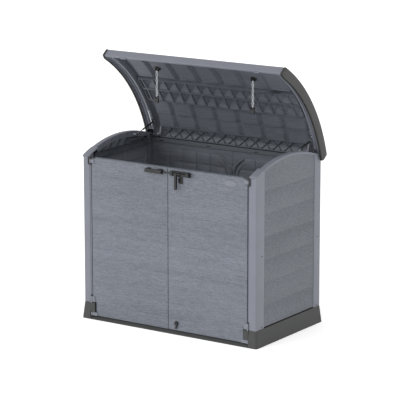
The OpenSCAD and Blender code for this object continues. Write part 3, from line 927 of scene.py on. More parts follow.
@dataclass
class Wall:
    """One end wall: two posts, the arched rail, the grained panel and its liner."""

    side: Side
    shell: float = 0.004
    post_return: float = 0.020
    post_tongue: float = 0.040
    corner_r: float = 0.009
    cap_lip: float = 0.014
    cap_proud: float = 0.0012
    lip_low: float = 0.172
    lip_high: float = 1.095
    seam_pitch: float = 0.1556
    first_seam: float = 0.2705
    groove_w: float = 0.004
    groove_d: float = 0.0010
    foot_gap: float = 0.004
    pad_gap: float = 0.006
    pad_r: float = 0.018
    sill: float = 1.168
    arc_cuts: int = 40

    def build(self) -> None:
        """Builds and dresses every piece of this wall."""
        self.post("front")
        self.post("rear")
        self.rail()
        self.panel()
        self.liner()

    def place(self) -> Place:
        """Places a point drawn for the right-hand wall."""
        return mirrored(as_drawn, self.side)

    def post(self, end: str) -> None:
        """Builds a hollow post with a rounded outer corner and its cap.

        Args:
            end: "front" or "rear".
        """
        node = f"post_{end}_{self.side.word}"
        x0, x1, low, high = right_box(node)
        front = end == "front"
        toward = 1 if front else -1
        face_y, far_y = (low.y, high.y) if front else (high.y, low.y)
        t, far = self.shell, self.post_return
        depth = self.post_tongue if front else t
        path = [
            (x0, face_y + toward * depth, 0.0),
            (x0, face_y, 0.004 if front else 0.0),
            (x1, face_y, self.corner_r),
            (x1, far_y, 0.003),
            (x1 - far, far_y, 0.0),
            (x1 - far, far_y - toward * t, 0.0),
            (x1 - t, far_y - toward * t, 0.0),
            (x1 - t, face_y + toward * t, self.corner_r - t),
            (x0 + t, face_y + toward * t, 0.0),
            (x0 + t, face_y + toward * depth, 0.0),
        ]
        outline = rounded_outline(path if front else path[1:-1], 5)
        mould = Mould(self.place())
        top_r = PLAN.arch_r - 0.002
        mould.loft(
            [
                [(x, y, low.z + 0.0003) for x, y in outline],
                [(x, y, low.z + 0.6) for x, y in outline],
                [(x, y, PLAN.arc_height(top_r, y)) for x, y in outline],
            ]
        )
        cap_x0 = x0 if front else right_box(f"arch_rail_{self.side.word}")[0]
        self.cap(mould, (cap_x0, x1), (low.y, high.y), front)
        if front:
            lip = (x0 - 0.0085, face_y + 0.005, self.lip_low)
            mould.brick(lip, (x0 + 0.001, face_y + 0.015, self.lip_high))
        add_piece(node + "_shell", mould, PALE_RESIN, "cabinet", [node])

    def cap(self, mould: Mould, x: Pair, y: Pair, front: bool) -> None:
        """Adds the cap over a post: it follows the arch and laps down the face.

        Args:
            mould: Mould of the post.
            x: Inner and outer edge of the post.
            y: Front and rear end of the post.
            front: Whether it is the front post.
        """
        p = self.cap_proud
        x0, x1 = x[0] - p, x[1] + p
        y0, y1 = y
        rings = []
        inset = [0.003, 0.001, 0.0] + [0.0] * 8 + [0.0, 0.001, 0.003]
        ys = [y0 - p, y0 - p + 0.0008, y0 + 0.002]
        ys += steps(y0 + 0.01, y1 - 0.01, 7)
        ys += [y1 - 0.002, y1 + p - 0.0008, y1 + p]
        for depth, e in zip(ys, inset):
            top = PLAN.arc_height(PLAN.arch_r, depth) + p
            section = rounded_outline(
                [
                    (x0 + e, top - 0.008, 0.0),
                    (x1 - e, top - 0.008, 0.0),
                    (x1 - e, top - e, 0.005),
                    (x0 + e, top - e, 0.005),
                ]
            )
            rings.append([standing(pair, 1, depth) for pair in section])
        mould.loft(rings)
        face = y0 - p if front else y1 + p
        back = face + (0.005 if front else -0.005)
        top = PLAN.arc_height(PLAN.arch_r, face)
        low, high = sorted((face, back))
        mould.brick((x0, low, top - self.cap_lip), (x1, high, top - 0.005))

    def rail(self) -> None:
        """Builds the arched rail: a channel with rounded shoulders."""
        node = f"arch_rail_{self.side.word}"
        x0, x1, low, high = right_box(node)
        mould = Mould(mirrored(PLAN.on_arc, self.side))
        r = PLAN.arch_r
        section = rounded_outline(
            [
                (x0, r - 0.040, 0.0),
                (x0, r, 0.006),
                (x1, r, 0.008),
                (x1, r - 0.016, 0.0015),
                (x1 - 0.0035, r - 0.016, 0.0015),
                (x1 - 0.0035, r - 0.004, 0.003),
                (x0 + 0.003, r - 0.004, 0.003),
                (x0 + 0.003, r - 0.040, 0.0),
            ]
        )
        a0, a1 = PLAN.arc_angle(r, low.y), PLAN.arc_angle(r, high.y)
        mould.run(section, steps(a0, a1, 48), across=2)
        name = node + "_channel"
        add_piece(name, mould, PALE_RESIN, "cabinet", [node])

    def panel(self) -> None:
        """Builds the wall panel: grained boards outside, moulded pads inside."""
        node = f"side_panel_{self.side.word}"
        x0, x1, low, high = right_box(node)
        mould, inner = Mould(self.place()), Mould(self.place())
        seams = [self.first_seam + k * self.seam_pitch for k in range(6)]
        rings, inner_rings = [], []
        foot = low.z + self.foot_gap
        back = x0 + 0.008
        near, far = back - 0.0003, back - 0.0035
        for y in steps(low.y, high.y, self.arc_cuts):
            top = PLAN.arc_height(PLAN.arch_r - 0.0043, y)
            face = boards(foot, top, seams, self.groove_w, self.groove_d)
            ring = [(x1 - d, y, z) for z, d in face]
            rings.append(ring + [(back, y, top), (back, y, foot)])
            inner_rings.append(
                [(near, y, foot), (near, y, top), (far, y, top), (far, y, foot)]
            )
        mould.loft(rings)
        inner.loft(inner_rings)
        cuts = [low.y + 0.006, 0.050, 0.298, high.y - 0.004]
        levels = [(low.z + 0.06, 0.36), (0.372, 0.69), (0.702, 1.018), (1.032, 1.122)]
        for ya, yb in zip(cuts, cuts[1:]):
            y = (ya + self.pad_gap, yb - self.pad_gap)
            r = min(self.pad_r, (y[1] - y[0]) / 3)
            for level in levels:
                profile = ((0.006, 0.0), (0.002, 0.001), (0.0, 0.003))
                inner.pillow(0, x0, y, level, (r,), profile)
        name = node + "_boards"
        add_piece(name, mould, WALL_GRAIN, "cabinet", [node])
        add_piece(node + "_inner_pads", inner, MID_RESIN, "cabinet")

    def liner(self) -> None:
        """Builds the arch's liner: slanting ridges above a ledge, with a stout pad."""
        node = f"arch_liner_{self.side.word}"
        x0, x1, low, high = right_box(node)
        plate_x = x0 + 0.014
        mould = Mould(self.place())
        top_r = PLAN.arch_r - 0.0055
        foot, sill = low.z + 0.004, self.sill
        near, far = plate_x, plate_x + 0.003
        rings = []
        for y in steps(low.y, high.y, self.arc_cuts):
            top = PLAN.arc_height(top_r, y)
            x_z = ((near, foot), (far, foot), (far, top), (near, top))
            rings.append([standing(pair, 1, y) for pair in x_z])
        mould.loft(rings)
        mould.brick((x0, low.y, low.z), (x1, high.y, foot))
        mould.brick((x0 + 0.003, low.y, sill - 0.004), (plate_x, high.y, sill))
        self.ridges(mould, plate_x, low.y, 0.100)
        for y in steps(low.y + 0.02, high.y - 0.02, 15):
            self.slat(mould, plate_x, y, (foot, sill - 0.004))
        self.stout_pad(mould, plate_x)
        add_piece(
            node + "_ribs",
            mould,
            DARK_RESIN,
            "cabinet",
            [node],
            RELIEF_CREASE,
        )

    def ridges(self, mould: Mould, x: float, y0: float, y1: float) -> None:
        """Adds slanting ridges of triangular section, cut off by the arch.

        Args:
            mould: Mould of the liner.
            x: Face of the liner's plate.
            y0: Front end of the row.
            y1: Rear end of the row.
        """
        pitch, rise, sill = 0.0855, 0.0140, self.sill
        lean = math.radians(50)
        top_r = PLAN.arch_r - 0.006
        start = -0.2618 - pitch
        count = int((y1 - start) / pitch)
        for k in range(count + 1):
            foot_y = start + k * pitch
            ends = []
            for offset, height in ((-0.038, 0.0), (0.0, rise), (0.016, 0.0)):
                y = foot_y + offset
                t = self.reach(y, sill, lean, top_r)
                bottom = (x - height, y, sill)
                tip = (x - height, y + t * math.cos(lean), sill + t * math.sin(lean))
                ends.append((bottom, tip))
            inside = all(y0 < end[1] < y1 + 0.03 for pair in ends for end in pair)
            if inside and ends[0][1][2] - sill > 0.02:
                mould.loft([[pair[0] for pair in ends], [pair[1] for pair in ends]])

    @staticmethod
    def reach(y: float, z: float, lean: float, r: float) -> float:
        """Distance along a slanting line to an arc.

        Args:
            y: Depth of the line's foot.
            z: Height of the line's foot.
            lean: The line's angle from level, in radians.
            r: Radius of the arc.

        Returns:
            The distance, in metres.
        """
        dy, dz = y - PLAN.arch_y, z - PLAN.arch_z
        b = dy * math.cos(lean) + dz * math.sin(lean)
        c = dy * dy + dz * dz - r * r
        return -b + math.sqrt(max(b * b - c, 0.0))

    @staticmethod
    def slat(mould: Mould, x: float, y: float, z: Pair) -> None:
        """Adds a thin slanting rib between the ledge and the sill.

        Args:
            mould: Mould of the liner.
            x: Face of the liner's plate.
            y: Depth of its foot.
            z: Heights of its foot and its top.
        """
        lean, w, proud = 0.014, 0.0025, 0.005
        ends = []
        for low, height in ((y, z[0]), (y + lean, z[1])):
            high = low + w
            outline = ((x, low), (x, high), (x - proud, high), (x - proud, low))
            ends.append([(*pair, height) for pair in outline])
        mould.loft(ends)

    def stout_pad(self, mould: Mould, x: float) -> None:
        """Adds the stepped pad that backs the strut's stud.

        Args:
            mould: Mould of the liner.
            x: Face of the liner's plate.
        """
        for y, z0, z1, depth in (
            ((0.106, 0.300), 0.006, 0.026, 0.012),
            ((0.118, 0.288), 0.030, 0.052, 0.006),
        ):
            profile = ((0.0, 0.0), (0.002 - depth, 0.001), (-depth, 0.004))
            mould.pillow(0, x, y, (self.sill + z0, self.sill + z1), (0.005,), profile)


@dataclass
class Back:
    """Back wall: two twin-wall panels, the hinge rail, and its slots drawn as black patches of
    painted shade.
    """

    board_pitch: float = 0.102
    first_board: float = 0.209
    brick_gap: float = 0.0024
    brick_rise: float = 0.0035
    brick_r: float = 0.003
    big_brick_r: float = 0.075

    def build(self) -> None:
        """Builds and dresses the back wall's pieces."""
        for side in Side:
            self.panel(side)
        dress(DARK_RESIN, "rear_rail", edge=0.0015)
        self.slots()
        self.seal()

    def panel(self, side: Side) -> None:
        """Builds one panel: boards outside, bricks with round corners inside.

        Args:
            side: Side of the middle joint that it is on.
        """
        node = f"rear_panel_{side.word}"
        x0, x1, low, high = right_box(node)
        mould, skin_mould = (Mould(mirrored(as_drawn, side)) for _ in range(2))
        seams = [self.first_board + k * self.board_pitch for k in range(9)]
        face = boards(low.z, high.z, seams, 0.005, 0.0018)
        inner = low.y + self.brick_rise
        ring = [(high.y - d, z) for z, d in face] + [(inner, high.z), (inner, low.z)]
        mould.run(ring, (x0, x1))
        self.bricks(mould, inner)
        self.arcs(mould, inner)
        add_piece(
            node + "_boards", mould, LINER_GRAIN, "cabinet", [node]
        )
        ring = [(high.y + 0.0004 - d, z) for z, d in face]
        ring += [(high.y - 0.004, high.z), (high.y - 0.004, low.z)]
        skin_mould.run(ring, (x0 + 0.0005, x1))
        outer = node + "_outer_skin"
        add_piece(outer, skin_mould, WALL_GRAIN, "cabinet")

    def bricks(self, mould: Mould, inner: float) -> None:
        """Adds rows of moulded bricks, round at the upper corner by the middle.

        Args:
            mould: Mould of the panel.
            inner: Depth of the plate that they stand on.
        """
        columns = [0.062, 0.189, 0.304, 0.423, 0.534, 0.645]
        levels = [0.16, 0.27, 0.382, 0.494, 0.606, 0.718, 0.83, 0.905, 1.0075, 1.093]
        g, rise, r = self.brick_gap / 2, self.brick_rise, self.brick_r
        profile = ((0.0, 0.0), (-0.8 * rise, 0.0004), (-rise, 0.0016))
        for row, (z0, z1) in enumerate(zip(levels, levels[1:])):
            for col, (xa, xb) in enumerate(zip(columns, columns[1:])):
                by_middle = row == len(levels) - 2 and col == 0
                radii = (r, r, r, self.big_brick_r if by_middle else r)
                mould.pillow(
                    1, inner, (xa + g, xb - g), (z0 + g, z1 - g), radii, profile, 8
                )

    @staticmethod
    def arcs(mould: Mould, inner: float) -> None:
        """Adds the two curved stiffening ribs beside the middle joint.

        Args:
            mould: Mould of the panel.
            inner: Depth of the plate that they stand on.
        """
        cx, cz, straight = 0.145, 0.955, 0.30
        section = ((-1, 0.0), (-0.6, 0.7), (0, 1.0), (0.6, 0.7), (1, 0.0))
        for radius, width, rise in ((0.135, 0.010, 0.012), (0.100, 0.004, 0.007)):
            path = [(cx - radius, cz - straight)]
            for t in steps(math.pi, math.pi * 0.62, 10):
                path.append((cx + radius * math.cos(t), cz + radius * math.sin(t)))
            rings = []
            for i, (x, z) in enumerate(path):
                ahead = Vector(path[min(i + 1, len(path) - 1)])
                behind = Vector(path[max(i - 1, 0)])
                along = (ahead - behind).normalized()
                ring = []
                for s, d in section:
                    u, v = x - along.y * s * width, z + along.x * s * width
                    ring.append((u, inner - rise * d + 0.0005, v))
                rings.append(ring)
            mould.loft(rings)

    @staticmethod
    def seal() -> None:
        """Adds a near-black strip on the rail that the lid's flange comes down on; its black is
        painted shade for the gap under the flange.
        """
        low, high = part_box("rear_rail")
        strip = Mould()
        y0, y1 = low.y + 0.0005, high.y - 0.0045
        z0, z1 = high.z + 0.0002, high.z + 0.0016
        section = rounded_outline(
            [(y0, z0, 0.0), (y0, z1, 0.001), (y1, z1, 0.001), (y1, z0, 0.0)]
        )
        strip.run(section, (low.x + 0.002, high.x - 0.002))
        add_piece("rear_rail_seal", strip, BLACK_SHADE_STRIP, "cabinet")

    @staticmethod
    def slots() -> None:
        """Adds black rimmed patches on the hinge rail at the slots that hang hooks take; their
        black paints the shade inside the slots.
        """
        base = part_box("rear_rail")[0].y + 0.0004
        half, z = 0.017, (1.1425, 1.1495)
        profile = ((0.0, 0.0), (-0.0012, 0.0004), (-0.0016, 0.0012))
        # raised black patches, not openings: painted shade standing for the slots
        slot_shade = Mould()
        for x in (-0.602, -0.2015, 0.2015, 0.602):
            slot_shade.pillow(1, base, (x - half, x + half), z, (0.002,), profile)
        add_piece("rail_hook_slots", slot_shade, BLACK_NYLON, "cabinet")


@dataclass
class Door:
    """One door: grained boards with rolled edges, a padded back and its hinges."""

    side: Side
    board_pitch: float = 0.102
    first_board: float = 0.107
    groove_w: float = 0.0042
    groove_d: float = 0.0014
    roll: float = 0.003
    notch_w: float = 0.030
    notch_low: float = 0.050
    notch_high: float = 0.121
    pad_gap: float = 0.012
    pad_r: float = 0.018

    def build(self) -> None:
        """Builds the door's pieces and dresses its hinges."""
        self.face()
        self.back()
        dress(PALE_RESIN, f"door_hinges_{self.side.word}", edge=0.001)

    @property
    def body(self) -> str:
        """CAD body of this door."""
        return f"{self.side.word}_door"

    def face(self) -> None:
        """Builds the front: a slab of boards with a notch for the lower hinge."""
        node = f"door_skin_{self.side.word}"
        x0, x1, low, high = right_box(node)
        y = (low.y, high.y - 0.0042)
        mould = Mould(mirrored(as_drawn, self.side))
        notch_x = x1 - self.notch_w
        self.slab(mould, (x0, notch_x), y, (low.z, high.z), (True, False))
        for z in ((low.z, self.notch_low), (self.notch_high, high.z)):
            self.slab(mould, (notch_x, x1), y, z, (False, True))
        name = node + "_boards"
        add_piece(name, mould, DOOR_GRAIN, self.body, [node])

    def rolled_end(self, place: float, inward: int) -> list[Pair]:
        """Steps of a rolled edge.

        Args:
            place: Place of the edge.
            inward: 1 at a low end, -1 at a high end.

        Returns:
            (place, depth below the face) pairs, from low to high.
        """
        r = self.roll
        shape = ((0, 0.9), (0.3, 0.3), (1, 0))
        return [(place + inward * t * r, d * r) for t, d in shape][::inward]

    def slab(
        self, mould: Mould, x: Pair, y: Pair, z: Pair, rolled: tuple[bool, bool]
    ) -> None:
        """Adds a slab of boards.

        Args:
            mould: Mould of the face.
            x: Its two ends.
            y: Its face and its back.
            z: Its foot and its top.
            rolled: Whether each end's edges are rolled.
        """
        seams = [self.first_board + k * self.board_pitch for k in range(10)]
        section = boards(z[0], z[1], seams, self.groove_w, self.groove_d)
        outline = self.rolled_end(z[0], 1) + section[1:-1] + self.rolled_end(z[1], -1)
        ring = [(y[0] + d, v) for v, d in outline] + [(y[1], z[1]), (y[1], z[0])]
        ends = []
        for place, inward, soft in zip(x, (1, -1), rolled):
            ends += self.rolled_end(place, inward) if soft else [(place, 0.0)]
        rings = []
        for u, e in ends:
            face, foot, top = y[0] + e, z[0] + e * 0.3, z[1] - e * 0.3
            rings.append([(u, max(v, face), min(max(w, foot), top)) for v, w in ring])
        mould.loft(rings)

    def back(self) -> None:
        """Builds the inside: a plate with raised pads between shallow channels."""
        node = f"door_back_{self.side.word}"
        x0, x1, low, high = right_box(node)
        mould = Mould(mirrored(as_drawn, self.side))
        y0, y1 = high.y - 0.003, high.y
        notch_x = x1 - self.notch_w
        mould.brick((x0, y0, low.z), (notch_x, y1, high.z))
        mould.brick((notch_x, y0, self.notch_high + 0.004), (x1, y1, high.z))
        mould.brick((notch_x, y0, low.z), (x1, y1, self.notch_low - 0.004))
        levels = steps(low.z + 0.03, high.z - 0.03, 5)
        half, g = (x0 + notch_x) / 2, self.pad_gap
        profile = ((0.0, 0.0), (0.003, 0.001), (0.004, 0.004))
        for z0, z1 in zip(levels, levels[1:]):
            for xa, xb in ((x0 + 0.03, half), (half, notch_x - 0.01)):
                u, v = (xa + g, xb - g), (z0 + g, z1 - g)
                mould.pillow(1, y1, u, v, (self.pad_r,), profile)
        name = node + "_pads"
        add_piece(name, mould, DARK_RESIN, self.body, [node])


# ---------------------------------------------------------------- lid


@dataclass
class Lid:
    """Bowed lid: grained skin, front lip, end trims, rails and the ribbed liner."""

    rise: float = 0.056
    skin: float = 0.0035
    skirt: float = 0.070
    lip_h: float = 0.058
    lip_y: float = -0.430
    trim_y: Pair = (-0.433, 0.434)
    face_r: float = 1.0625
    plate_r: float = 1.0815
    flange_r: float = 1.0745
    flange_y: float = 0.394
    flange_turn: tuple[Pair, ...] = (
        (0.404, 1.217),
        (0.411, 1.203),
        (0.4148, 1.188),
        (0.4150, 1.1815),
    )
    cell: float = 0.0921
    cell_shift: float = 0.0300
    board_pitch: float = 0.102

    @property
    def outer_r(self) -> float:
        """Radius of the lid's top."""
        return PLAN.arch_r + self.rise

    def build(self) -> None:
        """Builds and dresses every piece of the lid."""
        self.top()
        self.lip()
        self.liner()
        for side in Side:
            self.trim(side)
            self.rail(side)
        dress(PALE_RESIN, "lid_hinge_ears", edge=0.0015)
        dress(BLACK_NYLON, "lid_screws")

    def top(self) -> None:
        """Builds the skin: boards run across the lid, with a drop at the rear."""
        half = self.half_width()
        front, rear = -0.4257, 0.432
        seam_w, seam_d = 0.003, 0.0015
        r, under = self.outer_r, self.outer_r - self.skin
        seams = [-0.36 + k * self.board_pitch for k in range(8)]
        ys = steps(front, rear, 72)
        ys += [s + d for s in seams for d in (-seam_w, 0.0, seam_w)]
        ring: list[Pair] = []
        for y in sorted(ys):
            depth = seam_d if any(abs(y - s) < 1e-9 for s in seams) else 0.0
            ring.append((y, PLAN.arc_height(r - depth, y)))
        drop = PLAN.arc_height(r, rear) - 0.022
        ring += [(rear, drop), (rear - self.skin, drop)]
        inner = reversed(steps(front, rear - self.skin, 60))
        ring += [(y, PLAN.arc_height(under, y)) for y in inner]
        mould = Mould(PLAN.on_lid)
        mould.run(ring, (-half, half))
        name, nodes = "lid_skin_boards", ["lid_skin"]
        add_piece(name, mould, PALE_GRAIN, "lid", nodes)

    @staticmethod
    def half_width() -> float:
        """Half the width of the lid between its end trims."""
        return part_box("lid_skin")[1].x

    def lip(self) -> None:
        """Builds the front lip: a rounded band with a rolled foot and small tabs."""
        half = self.half_width()
        y = self.lip_y
        top = PLAN.arc_height(self.outer_r, y)
        foot = top - self.lip_h
        section = rounded_outline(
            [
                (y, foot, 0.004),
                (y, top + 0.0005, 0.006),
                (y + 0.010, top + 0.0035, 0.0),
                (y + 0.010, top - 0.001, 0.0),
                (y + 0.004, top - 0.004, 0.0),
                (y + 0.004, foot + 0.004, 0.002),
                (y + 0.016, foot + 0.004, 0.0),
                (y + 0.016, foot, 0.0015),
            ]
        )
        mould = Mould(PLAN.on_lid)
        mould.run(section, (-half, half))
        for x in (-0.56, 0.53):
            low = (x - 0.022, y + 0.004, foot - 0.007)
            mould.brick(low, (x + 0.022, y + 0.014, foot + 0.003))
        add_piece("lid_lip_band", mould, PALE_RESIN, "lid", ["lid_lip"])

    def trim(self, side: Side) -> None:
        """Builds an end trim: a deep charcoal channel with soft edges, and a near-black strip
        that fills the gap beside it as painted shade.

        Args:
            side: End of the lid that it is on.
        """
        node = f"lid_trim_{side.word}"
        half = self.half_width()
        x0, x1 = half + 0.0028, half + 0.0165
        front, rear = self.trim_y
        mould, seal = (Mould(mirrored(PLAN.on_lid, side)) for _ in range(2))
        rings, shade_strip_rings = [], []
        ys = [front, front + 0.001, front + 0.004]
        ys += steps(front + 0.012, rear - 0.012, 44) + [rear - 0.003, rear]
        insets = [0.003, 0.001] + [0.0] * (len(ys) - 3) + [0.003]
        for y, e in zip(ys, insets):
            top = PLAN.arc_height(self.outer_r + 0.001, y)
            foot = self.trim_foot(y)
            radii = (0.002, 0.004, 0.005, 0.003)
            section = rounded_rectangle((x0, x1), (foot, top), radii, e)
            rings.append([standing(pair, 1, y) for pair in section])
            # the near-black strip in the gap between the lid's skin and the trim is painted
            # shade
            a, b = half + 0.0006, x0 + 0.001
            low, high = foot + e - 0.0008, top - e - 0.002
            spots = ((a, low), (b, low), (b, high), (a, high))
            shade_strip_rings.append([standing(pair, 1, y + 0.0004) for pair in spots])
        mould.loft(rings)
        seal.loft(shade_strip_rings)
        add_piece(node + "_channel", mould, TRIM_RESIN, "lid", [node])
        add_piece(node + "_seal", seal, BLACK_SHADE_STRIP, "lid")

    def trim_foot(self, y: float) -> float:
        """Height of the trim's lower edge: it hangs lowest amid the arch.

        Args:
            y: Depth on the closed lid.

        Returns:
            The height, in metres.
        """
        front, rear = self.trim_y
        low = PLAN.arc_height(self.outer_r, self.lip_y) - self.lip_h - 0.002
        sag, corner = 0.040, 0.014
        arc = PLAN.arc_height(PLAN.arch_r + self.rise - self.skirt - 0.001, y)
        if y < PLAN.arch_y:
            share = (y - front) / (PLAN.arch_y - front)
            line = low - sag * share
        elif y < rear - corner:
            share = (y - PLAN.arch_y) / (rear - corner - PLAN.arch_y)
            line = low - sag * (1 - share)
        else:
            line = low + 0.022 * (y - rear + corner) / corner
        return max(arc, line)

    def rail(self, side: Side) -> None:
        """Builds an end rail: stepped bands that come down on the wall's arch.

        Args:
            side: End of the lid that it is on.
        """
        node = f"lid_rail_{side.word}"
        x0, x1, _, _ = right_box(node)
        bottom = PLAN.arch_r + 0.004
        top = self.outer_r - self.skin - 0.0003
        skirt = PLAN.arch_r + self.rise - self.skirt + 0.004
        section = rounded_outline(
            [
                (x0, top, 0.0),
                (x0, bottom + 0.003, 0.003),
                (x0 + 0.004, bottom, 0.002),
                (x0 + 0.018, bottom, 0.002),
                (x0 + 0.020, bottom + 0.007, 0.001),
                (x0 + 0.026, bottom + 0.007, 0.001),
                (x0 + 0.028, bottom, 0.002),
                (x0 + 0.039, bottom, 0.002),
                (x0 + 0.041, bottom + 0.004, 0.001),
                (x1 - 0.0042, bottom + 0.004, 0.001),
                (x1 - 0.0034, skirt, 0.001),
                (x1, skirt, 0.001),
                (x1, top, 0.0),
            ],
            3,
        )
        a0, a1 = (PLAN.arc_angle(bottom, y) for y in (-0.410, 0.360))
        mould = Mould(mirrored(PLAN.on_lid_arc, side))
        mould.run(section, steps(a0, a1, 48), across=2)
        add_piece(node + "_bands", mould, PALE_RESIN, "lid", [node])

    def liner(self) -> None:
        """Builds the liner: slanting pads, rows of dished cells, panels, lattice."""
        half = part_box("lid_liner")[1].x
        mould = Mould(PLAN.on_lid_arc)
        low = (-half, self.plate_r, self.row_angle(-0.408))
        high = (half, self.plate_r + 0.0025, self.row_angle(0.392))
        mould.brick(low, high, along=2, cuts=48)
        self.pads(mould, half, (-0.406, -0.100))
        for row in ((-0.095, 0.011), (0.013, 0.124)):
            self.dishes(mould, half, row)
        for row in ((0.128, 0.242), (0.246, 0.348)):
            self.panels(mould, half, row)
        self.lattice(mould, half)
        add_piece(
            "lid_liner_relief",
            mould,
            LINER_GRAIN,
            "lid",
            ["lid_liner"],
            RELIEF_CREASE,
        )

    @property
    def root_r(self) -> float:
        """Radius at which the relief is rooted in the liner's plate."""
        return self.plate_r + 0.0005

    def row_angle(self, y: float) -> float:
        """Angle of the liner's face at depth y of the closed lid."""
        return PLAN.arc_angle(self.face_r, y)

    @staticmethod
    def columns(half: float, pitch: float, shift: float) -> list[float]:
        """Column borders across the liner, ends included.

        Args:
            half: Half the liner's width.
            pitch: Width of a column.
            shift: Place of one border.

        Returns:
            The borders' places, from left to right.
        """
        first = math.ceil((-half - shift) / pitch)
        inner = [shift + k * pitch for k in range(first, first + 40)]
        inner = [x for x in inner if -half + 0.02 < x < half - 0.02]
        return [-half, *inner, half]

    def raised(self, x: Pair, foot: float, run: Pair, r: float, a: float) -> Ring:
        """Section of a pad with sloping shoulders, rooted in the plate.

        Args:
            x: Its two ends.
            foot: How far in from its ends its slopes start.
            run: How far in its shoulders and its flat start.
            r: Radius of its flat.
            a: Angle of the section.

        Returns:
            The six points.
        """
        (x0, x1), (shoulder, flat), root = x, run, self.root_r
        return [
            (x0 + foot, root, a),
            (x0 + shoulder, r + 0.002, a),
            (x0 + flat, r, a),
            (x1 - flat, r, a),
            (x1 - shoulder, r + 0.002, a),
            (x1 - foot, root, a),
        ]

    def pads(self, mould: Mould, half: float, y: Pair) -> None:
        """Adds wide pads between slanting valleys beside the lip.

        Args:
            mould: Mould of the liner.
            half: Half the liner's width.
            y: Edges of the row, nearest the lip and nearest the hinge.
        """
        lean, run, gap, first = -0.035, 0.026, 0.014, 0.104
        pitch, cuts = 2 * self.cell, 14
        for k in range(-5, 6):
            rings = []
            for t in steps(0.0, 1.0, cuts):
                shift = first + k * pitch + lean * t
                lo = max(shift + gap, -half + 0.002)
                hi = min(shift + pitch, half - 0.002)
                if hi - lo < 2 * run + 0.02:
                    break
                end = min(1.0, min(t, 1 - t) * cuts)
                r = self.face_r + (self.root_r - self.face_r) * (1 - end) * 0.8
                a = self.row_angle(y[0] + (y[1] - y[0]) * t)
                rings.append(self.raised((lo, hi), 0.0, (run * 0.85, run), r, a))
            if len(rings) == cuts + 1:
                mould.loft(rings)

    def dishes(self, mould: Mould, half: float, y: Pair) -> None:
        """Adds a row of cells, each dished to a point between raised ribs.

        Args:
            mould: Mould of the liner.
            half: Half the liner's width.
            y: Edges of the row, nearest the lip and nearest the hinge.
        """
        rib, rim, deep = 0.0040, self.face_r - 0.010, 0.011
        a = [self.row_angle(edge) for edge in y]
        borders = self.columns(half, self.cell, self.cell_shift)
        for x in zip(borders, borders[1:]):
            rings = []
            for e, r in ((0, self.root_r), (0, rim), (rib, rim), (rib, rim + deep)):
                x0, x1, a0, a1 = x[0] + e, x[1] - e, a[0] + e / rim, a[1] - e / rim
                rings.append([(x0, r, a0), (x1, r, a0), (x1, r, a1), (x0, r, a1)])
            tip = (x[0] + (x[1] - x[0]) * 0.5, self.plate_r - 0.001, (a[0] + a[1]) / 2)
            mould.loft([*rings, [tip]])

    def panels(self, mould: Mould, half: float, y: Pair) -> None:
        """Adds a row of shingle-like panels that rise towards the hinge.

        Args:
            mould: Mould of the liner.
            half: Half the liner's width.
            y: Edges of the row, nearest the lip and nearest the hinge.
        """
        pitch, run, gap = 2 * self.cell, 0.030, 0.010
        borders = self.columns(half, pitch, self.cell_shift + self.cell / 2)
        for x in zip(borders, borders[1:]):
            rings = []
            for t in steps(0.0, 1.0, 6):
                a = self.row_angle(y[0] + (y[1] - y[0]) * t)
                r = self.face_r + 0.010 * (1 - t)
                rings.append(self.raised(x, gap / 2, (run * 0.8, run), r, a))
            mould.loft(rings)

    def lattice(self, mould: Mould, half: float) -> None:
        """Adds the crossed ribs beside the hinge on a flange that turns down.

        Args:
            mould: Mould of the liner.
            half: Half the liner's width.
        """
        w, rise, buried = 0.0024, 0.011, 0.001
        path = self.flange_path()
        plate = [(y, z) for y, z, _, _ in path]
        back = [(y + ny * 0.0025, z + nz * 0.0025) for y, z, ny, nz in path]
        place, mould.place = mould.place, PLAN.on_lid
        mould.run(plate + back[::-1], (-half, half))
        for x in self.columns(half, self.cell, self.cell_shift)[1:-1]:
            for way in (-1, 1):
                if abs(x + way * self.cell) > half:
                    continue
                rings = []
                for i, (y, z, ny, nz) in enumerate(path):
                    u = x + way * self.cell * i / (len(path) - 1)
                    root = (y + ny * buried, z + nz * buried)
                    top = (y - ny * rise, z - nz * rise)
                    rings.append(
                        [(u - w, *root), (u + w, *root), (u + w, *top), (u - w, *top)]
                    )
                mould.loft(rings)
        for y, z, ny, nz in (path[0], path[-1]):
            ty, tz = nz * w, -ny * w
            section = [
                (y + ny * buried - ty, z + nz * buried - tz),
                (y + ny * buried + ty, z + nz * buried + tz),
                (y - ny * rise + ty, z - nz * rise + tz),
                (y - ny * rise - ty, z - nz * rise - tz),
            ]
            mould.run(section, (-half, half))
        mould.place = place

    def flange_path(self) -> list[tuple[float, float, float, float]]:
        """Section of the lattice's plate on the closed lid.

        Returns:
            (y, z, outward y, outward z) at points from the panels to the flange's end.
        """
        curve = []
        for y in steps(0.352, self.flange_y, 4):
            a = PLAN.arc_angle(self.flange_r, y)
            curve.append(PLAN.on_arc(0.0, self.flange_r, a)[1:])
        curve += self.flange_turn
        points = []
        for i, (y, z) in enumerate(curve):
            y0, z0 = curve[max(i - 1, 0)]
            y1, z1 = curve[min(i + 1, len(curve) - 1)]
            run = math.hypot(y1 - y0, z1 - z0)
            points.append((y, z, (z0 - z1) / run, (y1 - y0) / run))
        return points


# ---------------------------------------------------------------- fittings


